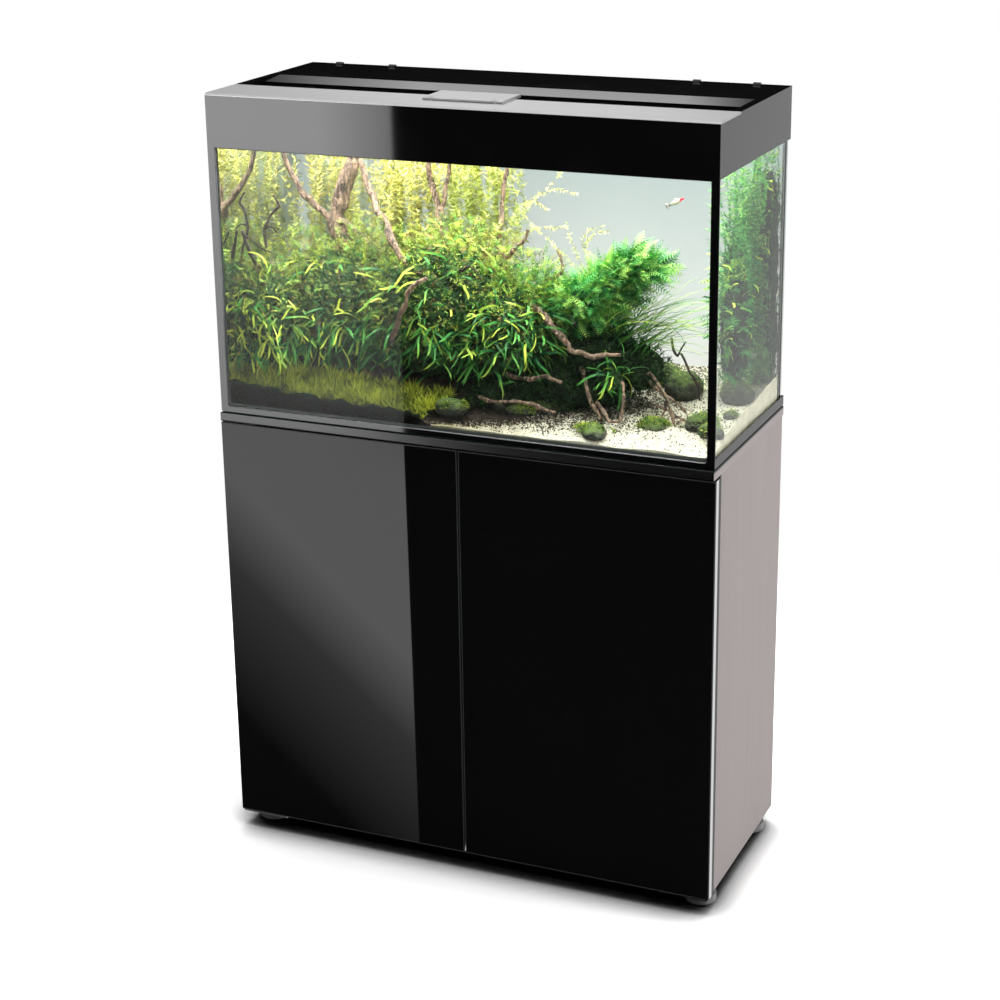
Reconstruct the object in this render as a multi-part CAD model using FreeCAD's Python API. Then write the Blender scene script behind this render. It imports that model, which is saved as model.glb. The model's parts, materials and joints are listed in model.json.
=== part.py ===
"""Aquarium on a two-door cabinet: planted glass tank, lift-up hood and handle-less glass-fronted doors.

Millimetres, +Z up.  The origin is on the floor under the middle of the object, +X runs to the right of
someone who faces the doors, and the doors face -Y.  Every function below builds one sub-part.
"""
import FreeCAD, Part
import math
import os
from FreeCAD import Vector

# ---- overall envelope ------------------------------------------------------------------------------
TANK_WIDTH = 800.0            # outside of the hood, the bottom frame and the cabinet sides
TANK_DEPTH = 340.0            # from the hood's front to its back
FIT = 0.5                     # slip clearance between a cover and the glass it slides over
REST_GAP = 0.3                # gap under a moving piece that rests on its seat
HOLE_FIT = 0.1                # radial clearance round fixed pins, dowels and screws
PIVOT_FIT = 0.08              # radial running clearance of every hinge pin

# ---- cabinet ---------------------------------------------------------------------------------------
FOOT_HEIGHT = 28.0
FOOT_RADIUS = 24.0
FOOT_DISC = 12.0
FOOT_STEM_RADIUS = 9.0
FOOT_FLANGE_RADIUS = 20.0
FOOT_FLANGE = 3.0
FOOT_SIDE_INSET = 28.0        # foot centre to the cabinet side
FOOT_FRONT_INSET = 55.0       # foot centre to the door front
FOOT_BACK_INSET = 36.0        # foot centre to the tank back
SIDE_HEIGHT = 670.0
PANEL = 16.0                  # laminated board
BACK_INSET = 4.0              # cabinet back to the tank back
BACK_PANEL = 6.0
CABLE_HOLE_RADIUS = 30.0
CABLE_HOLE_SIDE = 250.0       # cable hole to the middle of the cabinet
CABLE_HOLE_DROP = 90.0        # cable hole to the underside of the top board
GROMMET_LIP = 3.0
EDGE_STRIP = 7.0
SHELF_HEIGHT = 300.0          # shelf underside to the bottom panel
SHELF_FRONT_INSET = 30.0
SHELF_PIN_RADIUS = 2.5
SHELF_PIN_DEPTH = 8.0
SHELF_PIN_REACH = 7.0
SHELF_PIN_INSET = 40.0
SHELF_SIDE_GAP = 0.5
DOWEL_RADIUS = 4.0
DOWEL_LENGTH = 20.0
DOWEL_INSET = 50.0
BOARD = 14.0                  # top board that carries the tank
BOARD_OVERHANG = 4.0          # past the doors; its ends and back are near flush with the panels
BOARD_END_OVERHANG = 0.5
BOARD_LOWER_ROUND = 3.0
BOARD_UPPER_ROUND = 1.0
MAT = 2.0                     # foam mat under the tank
MAT_INSET = 3.0

# ---- doors -----------------------------------------------------------------------------------------
DOOR_BOARD = 16.0
DOOR_GLASS = 4.0
DOOR_TRIM = 1.5               # polished strip on each upright edge
DOOR_TRIM_DEPTH = 11.0        # strip from the glass back, the black board behind it
DOOR_SIDE_OVERLAY = 2.0       # door edge past the cabinet side
DOOR_MIDDLE_GAP = 3.0
DOOR_TOP_GAP = 2.5
DOOR_BOTTOM_GAP = 1.0
DOOR_BACK_GAP = 5.0           # door back to the carcass front, room for the pivoting edge
PIVOT_INSET = 8.0             # hinge axis to the door's outer edge
PIVOT_PIN_RADIUS = 3.0
PIVOT_PIN_REACH = 12.0
PIVOT_HOLE_SLACK = 2.0
TOP_PLATE = 1.5
BOTTOM_PLATE = 2.5
PLATE_LENGTH = 60.0
PLATE_EDGE = 2.0              # plate edge to the door front and cabinet side
PLATE_ARM_WIDTH = 20.0
PLATE_ARM_REACH = 37.0        # bottom plate arm past the carcass front
SCREW_RADIUS = 1.75
SCREW_HEAD_RADIUS = 3.0
SCREW_HEAD = 1.2
SCREW_LENGTH = 11.0
SCREW_PITCH = 22.0
STRIKE = 1.2                  # steel strike plate behind each door
STRIKE_WIDTH = 16.0
STRIKE_HEIGHT = 36.0
CATCH_DEPTH = 32.0
CATCH_WIDTH = 14.0
CATCH_HEIGHT = 40.0
CATCH_DROP = 60.0             # catch middle to the underside of the top board
CATCH_MAGNET_LIP = 2.0        # pole plates standing out of the catch body

# ---- tank ------------------------------------------------------------------------------------------
GLASS = 6.0
GLASS_HEIGHT = 458.0
SKIN = 2.5                    # wall of the hood, the front bezel and the bottom frame
FRAME_SOLE = 2.0
FRAME_SOLE_WIDTH = 16.0
FRAME_HEIGHT = 15.0
FILM = 0.3                    # frosted film on the back pane
SEAM = 4.0                    # leg of the silicone fillet
SEAM_TOP_INSET = 12.0
BEZEL_SIDE = 12.5
BEZEL_BOTTOM = 8.5
BEZEL_TOP = 3.0
BEZEL_CORNER = 4.0            # lower corners of the window; the hood covers the upper ones
BEZEL_BEVEL = 1.2

# ---- planting --------------------------------------------------------------------------------------
SOIL_FRONT = 34.0
SOIL_MIDDLE = 66.0
SOIL_BACK = 88.0
SAND_FRONT = 17.0
SAND_BACK = 44.0
BORDER_FRONT = -55.0          # x of the soil's edge at the front pane
BORDER_BACK = 130.0           # x of the soil's edge at the back pane
LUMP_SIDES = 10               # facets round each stone or clump
LUMP_RINGS = 6
CARPET = 14.0
CARPET_DEPTH = 95.0

# ---- filter and heater -----------------------------------------------------------------------------
FILTER_WIDTH = 62.0
FILTER_DEPTH = 54.0
FILTER_BODY = 170.0
FILTER_HEAD = 48.0
FILTER_TOP_DROP = 62.0        # filter top to the glass rim
FILTER_SIDE = 34.0            # filter to the left pane
FILTER_ROUND = 8.0
FILTER_SLOTS = 6
FILTER_SLOT_PITCH = 12.0
FILTER_SLOT_MARGIN = 12.0
FILTER_SLOT_DEPTH = 3.0
NOZZLE_RADIUS = 7.0
NOZZLE_WALL = 2.0
NOZZLE_REACH = 16.0
CUP_RADIUS = 11.0
CUP_THICK = 6.0
HEATER_RADIUS = 11.0
HEATER_LENGTH = 230.0
HEATER_CAP = 26.0
HEATER_SIDE = 150.0           # heater axis to the left pane

# ---- hood ------------------------------------------------------------------------------------------
HOOD_HEIGHT = 79.0
HOOD_OVERLAP = 47.0           # hood edge below the glass rim
HOOD_SEAT = 10.0              # width of the ring that sits on the glass
HOOD_SEAT_THICK = 3.0
DECK = 3.0
STRIP = 3.3                   # satin metal strip on the front of the hood
STRIP_DEPTH = 90.0
STRIP_BEVEL = 4.0
CHANNEL_DROP = 10.0           # channel floor below the hood top
CHANNEL_DEPTH = 56.0
LEDGE = 10.0
SIDE_RIM = 14.0
RIM_HEIGHT = 13.0
BACK_RIM = 12.5
LID_THICK = 3.0
LID_GAP = 1.0
LID_SLOPE = 56.0              # front part of the lid, which rises a little to the flat part
LID_LIP_DROP = 2.6            # top of the lid's front lip below the flat part
LID_BELOW_RIM = 0.5
LID_FRONT_RISE = 2.0          # lid front edge above the channel floor
KNUCKLE_RADIUS = 5.0
KNUCKLE_WIDTH = 11.0
KNUCKLE_SIDE_GAP = 0.5
KNUCKLE_AXIS_DROP = 2.0       # lid hinge axis below the hood top
KNUCKLE_OUTER = 348.0
KNUCKLE_INNER = 254.0
LID_PIN_RADIUS = 2.0
LID_PIN_SEAT = 4.5
FLAP_WIDTH = 126.0
FLAP_DEPTH = 66.0
FLAP_FRONT_INSET = 42.0       # flap front to the hood front
FLAP_THICK = 4.2
FLAP_PIN_RADIUS = 1.0
FLAP_EAR = 4.0
FLAP_EAR_SIDE = 50.0
FLAP_NOTCH_GAP = 0.7
PORT_WIDTH = 90.0
PORT_DEPTH = 28.0
PORT_FRONT_INSET = 54.0
TUBE_RADIUS = 13.0
TUBE_LENGTH = 600.0
TUBE_DROP = 30.0              # tube axis below the hood top
TUBE_FRONT_INSET = 29.0
TUBE_BACK_INSET = 119.0
TUBE_CAP = 14.0
HOLDER_WIDTH = 18.0
HOLDER_DEPTH = 30.0
CABLE_NOTCH_WIDTH = 60.0
CABLE_NOTCH_HEIGHT = 14.0
CABLE_NOTCH_SIDE = 270.0

# ---- levels and planes worked out from the sizes above ---------------------------------------------
HALF_WIDTH = TANK_WIDTH / 2
FRONT = -TANK_DEPTH / 2
BACK = TANK_DEPTH / 2
Z_CABINET = FOOT_HEIGHT
Z_BOARD = Z_CABINET + SIDE_HEIGHT
Z_MAT = Z_BOARD + BOARD
Z_FRAME = Z_MAT + MAT
Z_GLASS = Z_FRAME + FRAME_SOLE
Z_FLOOR = Z_GLASS + GLASS     # upper face of the bottom pane
Z_RIM = Z_GLASS + GLASS_HEIGHT
Z_HOOD = Z_RIM - HOOD_OVERLAP
Z_TOP = Z_HOOD + HOOD_HEIGHT

CABINET_BACK = BACK - BACK_INSET
CARCASS_INNER = HALF_WIDTH - PANEL
DOOR_BACK = FRONT + DOOR_GLASS + DOOR_BOARD
CARCASS_FRONT = DOOR_BACK + DOOR_BACK_GAP
DOOR_OUTER = HALF_WIDTH + DOOR_SIDE_OVERLAY
DOOR_INNER = DOOR_MIDDLE_GAP / 2
DOOR_BOTTOM = Z_CABINET + DOOR_BOTTOM_GAP
DOOR_TOP = Z_BOARD - DOOR_TOP_GAP
PIVOT_X = DOOR_OUTER - PIVOT_INSET
PIVOT_Y = DOOR_BACK - DOOR_BOARD / 2

GLASS_HALF = HALF_WIDTH - SKIN - FIT
GLASS_FRONT = FRONT + SKIN
GLASS_BACK = BACK - SKIN - FIT
WATER_HALF = GLASS_HALF - GLASS
WATER_FRONT = GLASS_FRONT + GLASS
WATER_BACK = GLASS_BACK - GLASS

STRIP_BACK = FRONT + STRIP_DEPTH
CHANNEL_BACK = STRIP_BACK + CHANNEL_DEPTH
Z_STRIP = Z_TOP - STRIP
Z_CHANNEL = Z_TOP - CHANNEL_DROP
LID_FRONT = CHANNEL_BACK + LID_GAP
LID_BACK = BACK - BACK_RIM - LID_GAP
LID_HALF = HALF_WIDTH - SIDE_RIM - LID_GAP
Z_LID = Z_TOP - LID_BELOW_RIM
LID_AXIS_Y = BACK - KNUCKLE_RADIUS
LID_AXIS_Z = Z_TOP - KNUCKLE_AXIS_DROP
FLAP_AXIS_Y = FRONT + FLAP_FRONT_INSET + FLAP_THICK / 2
FLAP_AXIS_Z = Z_TOP + REST_GAP + FLAP_THICK / 2
FLAP_BACK = FRONT + FLAP_FRONT_INSET + FLAP_DEPTH

SIDES = {"left": -1, "right": 1}


# ---- small building helpers ------------------------------------------------------------------------
def box(x0, x1, y0, y1, z0, z1):
    """Block between two opposite corners, given in any order along each axis."""
    low = Vector(min(x0, x1), min(y0, y1), min(z0, z1))
    return Part.makeBox(abs(x1 - x0), abs(y1 - y0), abs(z1 - z0), low)


def post(x, y, z0, z1, radius):
    """Upright cylinder."""
    return Part.makeCylinder(radius, z1 - z0, Vector(x, y, z0))


def rod_x(x0, x1, y, z, radius):
    """Cylinder along X."""
    return Part.makeCylinder(radius, abs(x1 - x0), Vector(min(x0, x1), y, z), Vector(1, 0, 0))


def rod_y(x, y0, y1, z, radius):
    """Cylinder along Y."""
    return Part.makeCylinder(radius, abs(y1 - y0), Vector(x, min(y0, y1), z), Vector(0, 1, 0))


def union(shapes):
    """One solid from touching or overlapping shapes, without the seams between them."""
    return shapes[0].multiFuse(shapes[1:]).removeSplitter()


def group(shapes):
    """Separate equal pieces that share one node."""
    return Part.makeCompound(shapes)


def prism_x(outline, x0, x1):
    """Solid with a (y, z) outline, drawn out along X."""
    wire = Part.makePolygon([Vector(x0, y, z) for y, z in outline + outline[:1]])
    return Part.Face(wire).extrude(Vector(x1 - x0, 0, 0))


def prism_z(outline, z0, z1):
    """Solid with an (x, y) outline, drawn out along Z."""
    wire = Part.makePolygon([Vector(x, y, z0) for x, y in outline + outline[:1]])
    return Part.Face(wire).extrude(Vector(0, 0, z1 - z0))


def lump(center, radii):
    """Faceted ball stretched to three radii: level rings of flat facets, closed by a flat top and bottom."""
    step = math.pi / LUMP_RINGS
    rings = []
    for level in range(LUMP_RINGS):
        rise = (level + 0.5) * step - math.pi / 2
        ring = []
        for corner in range(LUMP_SIDES):
            turn = 2 * math.pi * corner / LUMP_SIDES
            ring.append(Vector(center[0] + radii[0] * math.cos(rise) * math.cos(turn),
                               center[1] + radii[1] * math.cos(rise) * math.sin(turn),
                               center[2] + radii[2] * math.sin(rise)))
        rings.append(ring)
    outlines = [rings[0], rings[-1]]
    for lower, upper in zip(rings, rings[1:]):
        for here in range(LUMP_SIDES):
            after = (here + 1) % LUMP_SIDES
            outlines.append([lower[here], lower[after], upper[after], upper[here]])
    faces = [Part.Face(Part.makePolygon(outline + outline[:1])) for outline in outlines]
    return Part.makeSolid(Part.makeShell(faces))


def limb(start, end, radius0, radius1):
    """Tapering round branch with a rounded tip."""
    a, b = Vector(*start), Vector(*end)
    run = b.sub(a)
    shaft = Part.makeCone(radius0, radius1, run.Length, a, run)
    tip = Part.makeSphere(radius1, b)
    return shaft.fuse(tip)


def edges_at(shape, test):
    """Edges whose two ends and middle all pass the test."""
    def passes(edge):
        middle = edge.valueAt((edge.FirstParameter + edge.LastParameter) / 2)
        return all(test(p) for p in [v.Point for v in edge.Vertexes] + [middle])
    return [edge for edge in shape.Edges if passes(edge)]


def near(a, b):
    return abs(a - b) < 1e-4


# ---- cabinet ---------------------------------------------------------------------------------------
def foot_places():
    """Name and centre of each of the four feet."""
    rows = {"front": FRONT + FOOT_FRONT_INSET, "back": BACK - FOOT_BACK_INSET}
    for row, y in rows.items():
        for side, sign in SIDES.items():
            yield f"foot_{row}_{side}", sign * (HALF_WIDTH - FOOT_SIDE_INSET), y


def foot(x, y):
    """Glide disc, stem and mounting flange of one foot."""
    disc = post(x, y, 0, FOOT_DISC, FOOT_RADIUS)
    disc = disc.makeFillet(min(2.5, FOOT_DISC / 4), edges_at(disc, lambda p: near(p.z, FOOT_DISC)))
    stem = post(x, y, FOOT_DISC, Z_CABINET, FOOT_STEM_RADIUS)
    flange = post(x, y, Z_CABINET - FOOT_FLANGE, Z_CABINET, FOOT_FLANGE_RADIUS)
    return union([disc, stem, flange])


def dowel_spots():
    """Start and direction of every wooden dowel, each reaching half its length both ways."""
    rows = [CARCASS_FRONT + EDGE_STRIP + DOWEL_INSET, CABINET_BACK - BACK_PANEL - DOWEL_INSET]
    for y in rows:
        for x in (-HALF_WIDTH + PANEL / 2, 0, HALF_WIDTH - PANEL / 2):
            yield Vector(x, y, Z_BOARD), Vector(0, 0, 1)
        yield Vector(0, y, Z_CABINET + PANEL), Vector(0, 0, 1)
        for sign in SIDES.values():
            yield Vector(sign * CARCASS_INNER, y, Z_CABINET + PANEL / 2), Vector(1, 0, 0)


def dowel_bar(spot, along, radius, slack):
    """One dowel, or with some slack the drilling it sits in."""
    reach = min(DOWEL_LENGTH / 2, PANEL - 4.0) + slack
    return Part.makeCylinder(radius, 2 * reach, spot - along * reach, along)


def dowels():
    return group([dowel_bar(spot, along, DOWEL_RADIUS, 0) for spot, along in dowel_spots()])


def dowel_drillings():
    return group([dowel_bar(spot, along, DOWEL_RADIUS + HOLE_FIT, 0.5) for spot, along in dowel_spots()])


def shelf_level():
    return Z_CABINET + PANEL + SHELF_HEIGHT


def shelf_pin_spots():
    """Wall face, direction into the compartment, y and z of each shelf pin."""
    z = shelf_level() - SHELF_PIN_RADIUS
    front = CARCASS_FRONT + SHELF_FRONT_INSET
    back = CABINET_BACK - BACK_PANEL
    for y in (front + SHELF_PIN_INSET, back - SHELF_PIN_INSET):
        yield -CARCASS_INNER, 1, y, z
        yield -PANEL / 2, -1, y, z


def shelf_pins():
    return group([rod_x(x - way * SHELF_PIN_DEPTH, x + way * SHELF_PIN_REACH, y, z, SHELF_PIN_RADIUS)
                  for x, way, y, z in shelf_pin_spots()])


def shelf_pin_drillings():
    return group([rod_x(x - way * (SHELF_PIN_DEPTH + 0.5), x, y, z, SHELF_PIN_RADIUS + HOLE_FIT)
                  for x, way, y, z in shelf_pin_spots()])


def shelf():
    return box(-CARCASS_INNER + SHELF_SIDE_GAP, -PANEL / 2 - SHELF_SIDE_GAP,
               CARCASS_FRONT + SHELF_FRONT_INSET, CABINET_BACK - BACK_PANEL,
               shelf_level(), shelf_level() + PANEL)


def side_panel(sign):
    panel = box(sign * CARCASS_INNER, sign * HALF_WIDTH, CARCASS_FRONT + EDGE_STRIP, CABINET_BACK,
                Z_CABINET, Z_BOARD)
    return panel.cut(dowel_drillings()).cut(shelf_pin_drillings())


def edge_strips():
    """Black edging on the front of both side panels, behind the doors' outer edges."""
    return group([box(sign * CARCASS_INNER, sign * HALF_WIDTH, CARCASS_FRONT, CARCASS_FRONT + EDGE_STRIP,
                      Z_CABINET, Z_BOARD) for sign in SIDES.values()])


def bottom_panel():
    panel = box(-CARCASS_INNER, CARCASS_INNER, CARCASS_FRONT, CABINET_BACK - BACK_PANEL,
                Z_CABINET, Z_CABINET + PANEL)
    return panel.cut(dowel_drillings()).cut(group(list(bottom_screw_drillings())))


def center_partition():
    panel = box(-PANEL / 2, PANEL / 2, CARCASS_FRONT, CABINET_BACK - BACK_PANEL,
                Z_CABINET + PANEL, Z_BOARD)
    return panel.cut(dowel_drillings()).cut(shelf_pin_drillings())


def cable_hole_spots():
    return [(sign * CABLE_HOLE_SIDE, Z_BOARD - CABLE_HOLE_DROP) for sign in SIDES.values()]


def back_panel():
    panel = box(-CARCASS_INNER, CARCASS_INNER, CABINET_BACK - BACK_PANEL, CABINET_BACK,
                Z_CABINET, Z_BOARD)
    for x, z in cable_hole_spots():
        panel = panel.cut(rod_y(x, CABINET_BACK - BACK_PANEL, CABINET_BACK, z, CABLE_HOLE_RADIUS))
    return panel


def cable_grommets():
    """Ring that lines each cable hole, with a lip on the outside."""
    rings = []
    for x, z in cable_hole_spots():
        sleeve = rod_y(x, CABINET_BACK - BACK_PANEL, CABINET_BACK, z, CABLE_HOLE_RADIUS)
        lip = rod_y(x, CABINET_BACK, CABINET_BACK + 1.5, z, CABLE_HOLE_RADIUS + GROMMET_LIP)
        bore = rod_y(x, CABINET_BACK - BACK_PANEL, CABINET_BACK + 1.5, z, CABLE_HOLE_RADIUS - GROMMET_LIP)
        rings.append(union([sleeve, lip]).cut(bore))
    return group(rings)


def top_board():
    """Board under the tank, its front edges rounded."""
    left, right = -HALF_WIDTH - BOARD_END_OVERHANG, HALF_WIDTH + BOARD_END_OVERHANG
    front = FRONT - BOARD_OVERHANG
    board = box(left, right, front, BACK, Z_BOARD, Z_MAT)

    def front_edge(level):
        return [e for e in edges_at(board, lambda p: near(p.z, level))
                if all(near(v.Point.y, front) for v in e.Vertexes)]

    board = board.makeFillet(min(BOARD_LOWER_ROUND, BOARD / 3), front_edge(Z_BOARD))
    board = board.makeFillet(min(BOARD_UPPER_ROUND, BOARD / 6), front_edge(Z_MAT))
    return board.cut(dowel_drillings()).cut(group(list(top_screw_drillings())))


def foam_mat():
    return box(-HALF_WIDTH + MAT_INSET, HALF_WIDTH - MAT_INSET, FRONT + MAT_INSET, BACK - MAT_INSET,
               Z_MAT, Z_FRAME)


# ---- door pivots -----------------------------------------------------------------------------------
def plate_span(sign):
    """Inner and outer x of a pivot plate."""
    outer = HALF_WIDTH
    return sign * (outer - PLATE_LENGTH), sign * outer


def top_pivot(sign):
    """Plate under the top board with a pin that reaches down into the door."""
    inner, outer = plate_span(sign)
    z0 = Z_BOARD - TOP_PLATE
    plate = box(inner, outer, FRONT + PLATE_EDGE, DOOR_BACK + PLATE_EDGE, z0, Z_BOARD)
    pin = post(sign * PIVOT_X, PIVOT_Y, DOOR_TOP - PIVOT_PIN_REACH, z0, PIVOT_PIN_RADIUS)
    plate = union([plate, pin])
    for x in top_screw_places(sign):
        plate = plate.cut(post(x, PIVOT_Y, z0, Z_BOARD, SCREW_RADIUS + HOLE_FIT))
        plate = plate.cut(post(x, PIVOT_Y, z0, z0 + SCREW_HEAD, SCREW_HEAD_RADIUS + HOLE_FIT))
    return plate


def bottom_pivot(sign):
    """Angled plate under the cabinet floor with a pin that reaches up into the door."""
    inner, outer = plate_span(sign)
    arm_inner = inner - sign * PLATE_ARM_WIDTH
    z0 = Z_CABINET - BOTTOM_PLATE
    front = FRONT + PLATE_EDGE
    plate = union([box(arm_inner, outer, front, DOOR_BACK + PLATE_EDGE, z0, Z_CABINET),
                   box(arm_inner, inner, front, CARCASS_FRONT + PLATE_ARM_REACH, z0, Z_CABINET),
                   post(sign * PIVOT_X, PIVOT_Y, Z_CABINET, DOOR_BOTTOM + PIVOT_PIN_REACH,
                        PIVOT_PIN_RADIUS)])
    for x, y in bottom_screw_places(sign):
        plate = plate.cut(post(x, y, z0, Z_CABINET, SCREW_RADIUS + HOLE_FIT))
        plate = plate.cut(post(x, y, z0, z0 + SCREW_HEAD, SCREW_HEAD_RADIUS + HOLE_FIT))
    return plate


def top_screw_places(sign):
    first = HALF_WIDTH - PLATE_LENGTH + PLATE_ARM_WIDTH / 2
    return [sign * first, sign * (first + SCREW_PITCH)]


def bottom_screw_places(sign):
    x = sign * (HALF_WIDTH - PLATE_LENGTH - PLATE_ARM_WIDTH / 2)
    last = CARCASS_FRONT + PLATE_ARM_REACH - PLATE_ARM_WIDTH / 4
    return [(x, last), (x, last - SCREW_PITCH)]


def screw(x, y, z_head, way):
    """Countersunk-style screw standing on its head at z_head and pointing up (1) or down (-1)."""
    head = Part.makeCylinder(SCREW_HEAD_RADIUS, SCREW_HEAD, Vector(x, y, z_head), Vector(0, 0, way))
    shank = Part.makeCylinder(SCREW_RADIUS, SCREW_LENGTH, Vector(x, y, z_head), Vector(0, 0, way))
    return union([head, shank])


def pivot_screws():
    """The eight screws of the four pivot plates."""
    screws = []
    for sign in SIDES.values():
        screws += [screw(x, PIVOT_Y, Z_BOARD - TOP_PLATE, 1) for x in top_screw_places(sign)]
        screws += [screw(x, y, Z_CABINET - BOTTOM_PLATE, 1) for x, y in bottom_screw_places(sign)]
    return group(screws)


def top_screw_drillings():
    for sign in SIDES.values():
        for x in top_screw_places(sign):
            yield post(x, PIVOT_Y, Z_BOARD, Z_BOARD - TOP_PLATE + SCREW_LENGTH + 0.5,
                       SCREW_RADIUS + HOLE_FIT)


def bottom_screw_drillings():
    for sign in SIDES.values():
        for x, y in bottom_screw_places(sign):
            yield post(x, y, Z_CABINET, Z_CABINET - BOTTOM_PLATE + SCREW_LENGTH + 0.5,
                       SCREW_RADIUS + HOLE_FIT)


# ---- doors -----------------------------------------------------------------------------------------
def door_board(sign):
    """Door core with a blind pivot hole in its top and bottom edge."""
    trim_back = DOOR_BACK - DOOR_BOARD + DOOR_TRIM_DEPTH
    core = union([box(sign * (DOOR_INNER + DOOR_TRIM), sign * (DOOR_OUTER - DOOR_TRIM),
                      DOOR_BACK - DOOR_BOARD, trim_back, DOOR_BOTTOM, DOOR_TOP),
                  box(sign * DOOR_INNER, sign * DOOR_OUTER, trim_back, DOOR_BACK, DOOR_BOTTOM, DOOR_TOP)])
    depth = PIVOT_PIN_REACH + PIVOT_HOLE_SLACK
    radius = PIVOT_PIN_RADIUS + PIVOT_FIT
    for z in (DOOR_BOTTOM, DOOR_TOP - depth):
        core = core.cut(post(sign * PIVOT_X, PIVOT_Y, z, z + depth, radius))
    return core


def door_glass(sign):
    return box(sign * DOOR_INNER, sign * DOOR_OUTER, FRONT, FRONT + DOOR_GLASS, DOOR_BOTTOM, DOOR_TOP)


def door_trim(sign):
    """Polished strips on the two upright edges of the door core, let into its front part."""
    y0, y1 = DOOR_BACK - DOOR_BOARD, DOOR_BACK - DOOR_BOARD + DOOR_TRIM_DEPTH
    return group([box(sign * DOOR_INNER, sign * (DOOR_INNER + DOOR_TRIM), y0, y1, DOOR_BOTTOM, DOOR_TOP),
                  box(sign * (DOOR_OUTER - DOOR_TRIM), sign * DOOR_OUTER, y0, y1, DOOR_BOTTOM, DOOR_TOP)])


def catch_middle(sign):
    """x and z of the middle of a magnetic catch."""
    return sign * (PANEL / 2 + CATCH_WIDTH / 2), Z_BOARD - CATCH_DROP


def strike_plate(sign):
    x, z = catch_middle(sign)
    half, tall = STRIKE_WIDTH / 2, STRIKE_HEIGHT / 2
    return box(x - half, x + half, DOOR_BACK, DOOR_BACK + STRIKE, z - tall, z + tall)


def magnetic_catches():
    """Catch body on each face of the partition, its pole plates just short of the door's strike plate."""
    catches = []
    for sign in SIDES.values():
        x, z = catch_middle(sign)
        half, tall = CATCH_WIDTH / 2, CATCH_HEIGHT / 2
        face = DOOR_BACK + STRIKE + REST_GAP
        body = box(x - half, x + half, face + CATCH_MAGNET_LIP, face + CATCH_DEPTH, z - tall, z + tall)
        poles = [box(x - half + 3, x + half - 3, face, face + CATCH_MAGNET_LIP, z + s * 6 - 2, z + s * 6 + 2)
                 for s in (-1, 1)]
        catches.append(union([body] + poles))
    return group(catches)


# ---- tank ------------------------------------------------------------------------------------------
def glass_bottom():
    return box(-WATER_HALF, WATER_HALF, WATER_FRONT, WATER_BACK, Z_GLASS, Z_FLOOR)


def glass_front():
    return box(-GLASS_HALF, GLASS_HALF, GLASS_FRONT, WATER_FRONT, Z_GLASS, Z_RIM)


def glass_back():
    return box(-GLASS_HALF, GLASS_HALF, WATER_BACK, GLASS_BACK, Z_GLASS, Z_RIM)


def glass_side(sign):
    return box(sign * WATER_HALF, sign * GLASS_HALF, WATER_FRONT, WATER_BACK, Z_GLASS, Z_RIM)


def silicone_seams():
    """Bead round the floor and up the four inside corners, one triangular fillet all the way."""
    top = Z_RIM - SEAM_TOP_INSET
    beads = []
    for sx in (-1, 1):
        x = sx * WATER_HALF
        beads.append(prism_z_triangle(x, WATER_FRONT, -sx * SEAM, SEAM, top))
        beads.append(prism_z_triangle(x, WATER_BACK, -sx * SEAM, -SEAM, top))
        outline = [(x, Z_FLOOR), (x - sx * SEAM, Z_FLOOR), (x, Z_FLOOR + SEAM)]
        wire = Part.makePolygon([Vector(px, WATER_FRONT, pz) for px, pz in outline + outline[:1]])
        beads.append(Part.Face(wire).extrude(Vector(0, WATER_BACK - WATER_FRONT, 0)))
    for y, way in ((WATER_FRONT, 1), (WATER_BACK, -1)):
        beads.append(prism_x([(y, Z_FLOOR), (y + way * SEAM, Z_FLOOR), (y, Z_FLOOR + SEAM)],
                             -WATER_HALF, WATER_HALF))
    return union(beads)


def prism_z_triangle(x, y, dx, dy, top):
    """Upright corner bead with its right angle at (x, y)."""
    return prism_z([(x, y), (x + dx, y), (x, y + dy)], Z_FLOOR, top)


def front_bezel():
    """Black border plate on the front pane, with a bevelled window rounded at its lower corners."""
    plate = box(-HALF_WIDTH, HALF_WIDTH, FRONT, GLASS_FRONT, Z_FRAME, Z_HOOD)
    x = HALF_WIDTH - BEZEL_SIDE
    window = box(-x, x, FRONT, GLASS_FRONT, Z_FRAME + BEZEL_BOTTOM, Z_HOOD - BEZEL_TOP)
    corner = edges_at(window, lambda p: near(abs(p.x), x))
    window = window.makeFillet(BEZEL_CORNER, [e for e in corner if near(e.Length, SKIN)
                                              and e.Vertexes[0].Z < (Z_FRAME + Z_HOOD) / 2])
    plate = plate.cut(window)
    rim = edges_at(plate, lambda p: near(p.y, FRONT) and abs(p.x) < x + 0.01
                   and Z_FRAME + 0.01 < p.z < Z_HOOD - 0.01)
    return plate.makeChamfer(min(BEZEL_BEVEL, SKIN / 2), rim)


def bottom_frame():
    """Frame under the glass with a low wall up the sides and the back."""
    sole = box(-HALF_WIDTH, HALF_WIDTH, GLASS_FRONT, BACK, Z_FRAME, Z_GLASS)
    inner = HALF_WIDTH - FRAME_SOLE_WIDTH
    sole = sole.cut(box(-inner, inner, GLASS_FRONT + FRAME_SOLE_WIDTH, BACK - FRAME_SOLE_WIDTH,
                        Z_FRAME, Z_GLASS))
    top = Z_FRAME + FRAME_HEIGHT
    walls = [box(sign * (HALF_WIDTH - SKIN), sign * HALF_WIDTH, GLASS_FRONT, BACK, Z_GLASS, top)
             for sign in SIDES.values()]
    walls.append(box(-HALF_WIDTH, HALF_WIDTH, BACK - SKIN, BACK, Z_GLASS, top))
    return union([sole] + walls)


def background_film():
    return box(-GLASS_HALF, GLASS_HALF, GLASS_BACK, GLASS_BACK + FILM, Z_FRAME + FRAME_HEIGHT, Z_HOOD)


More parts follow.
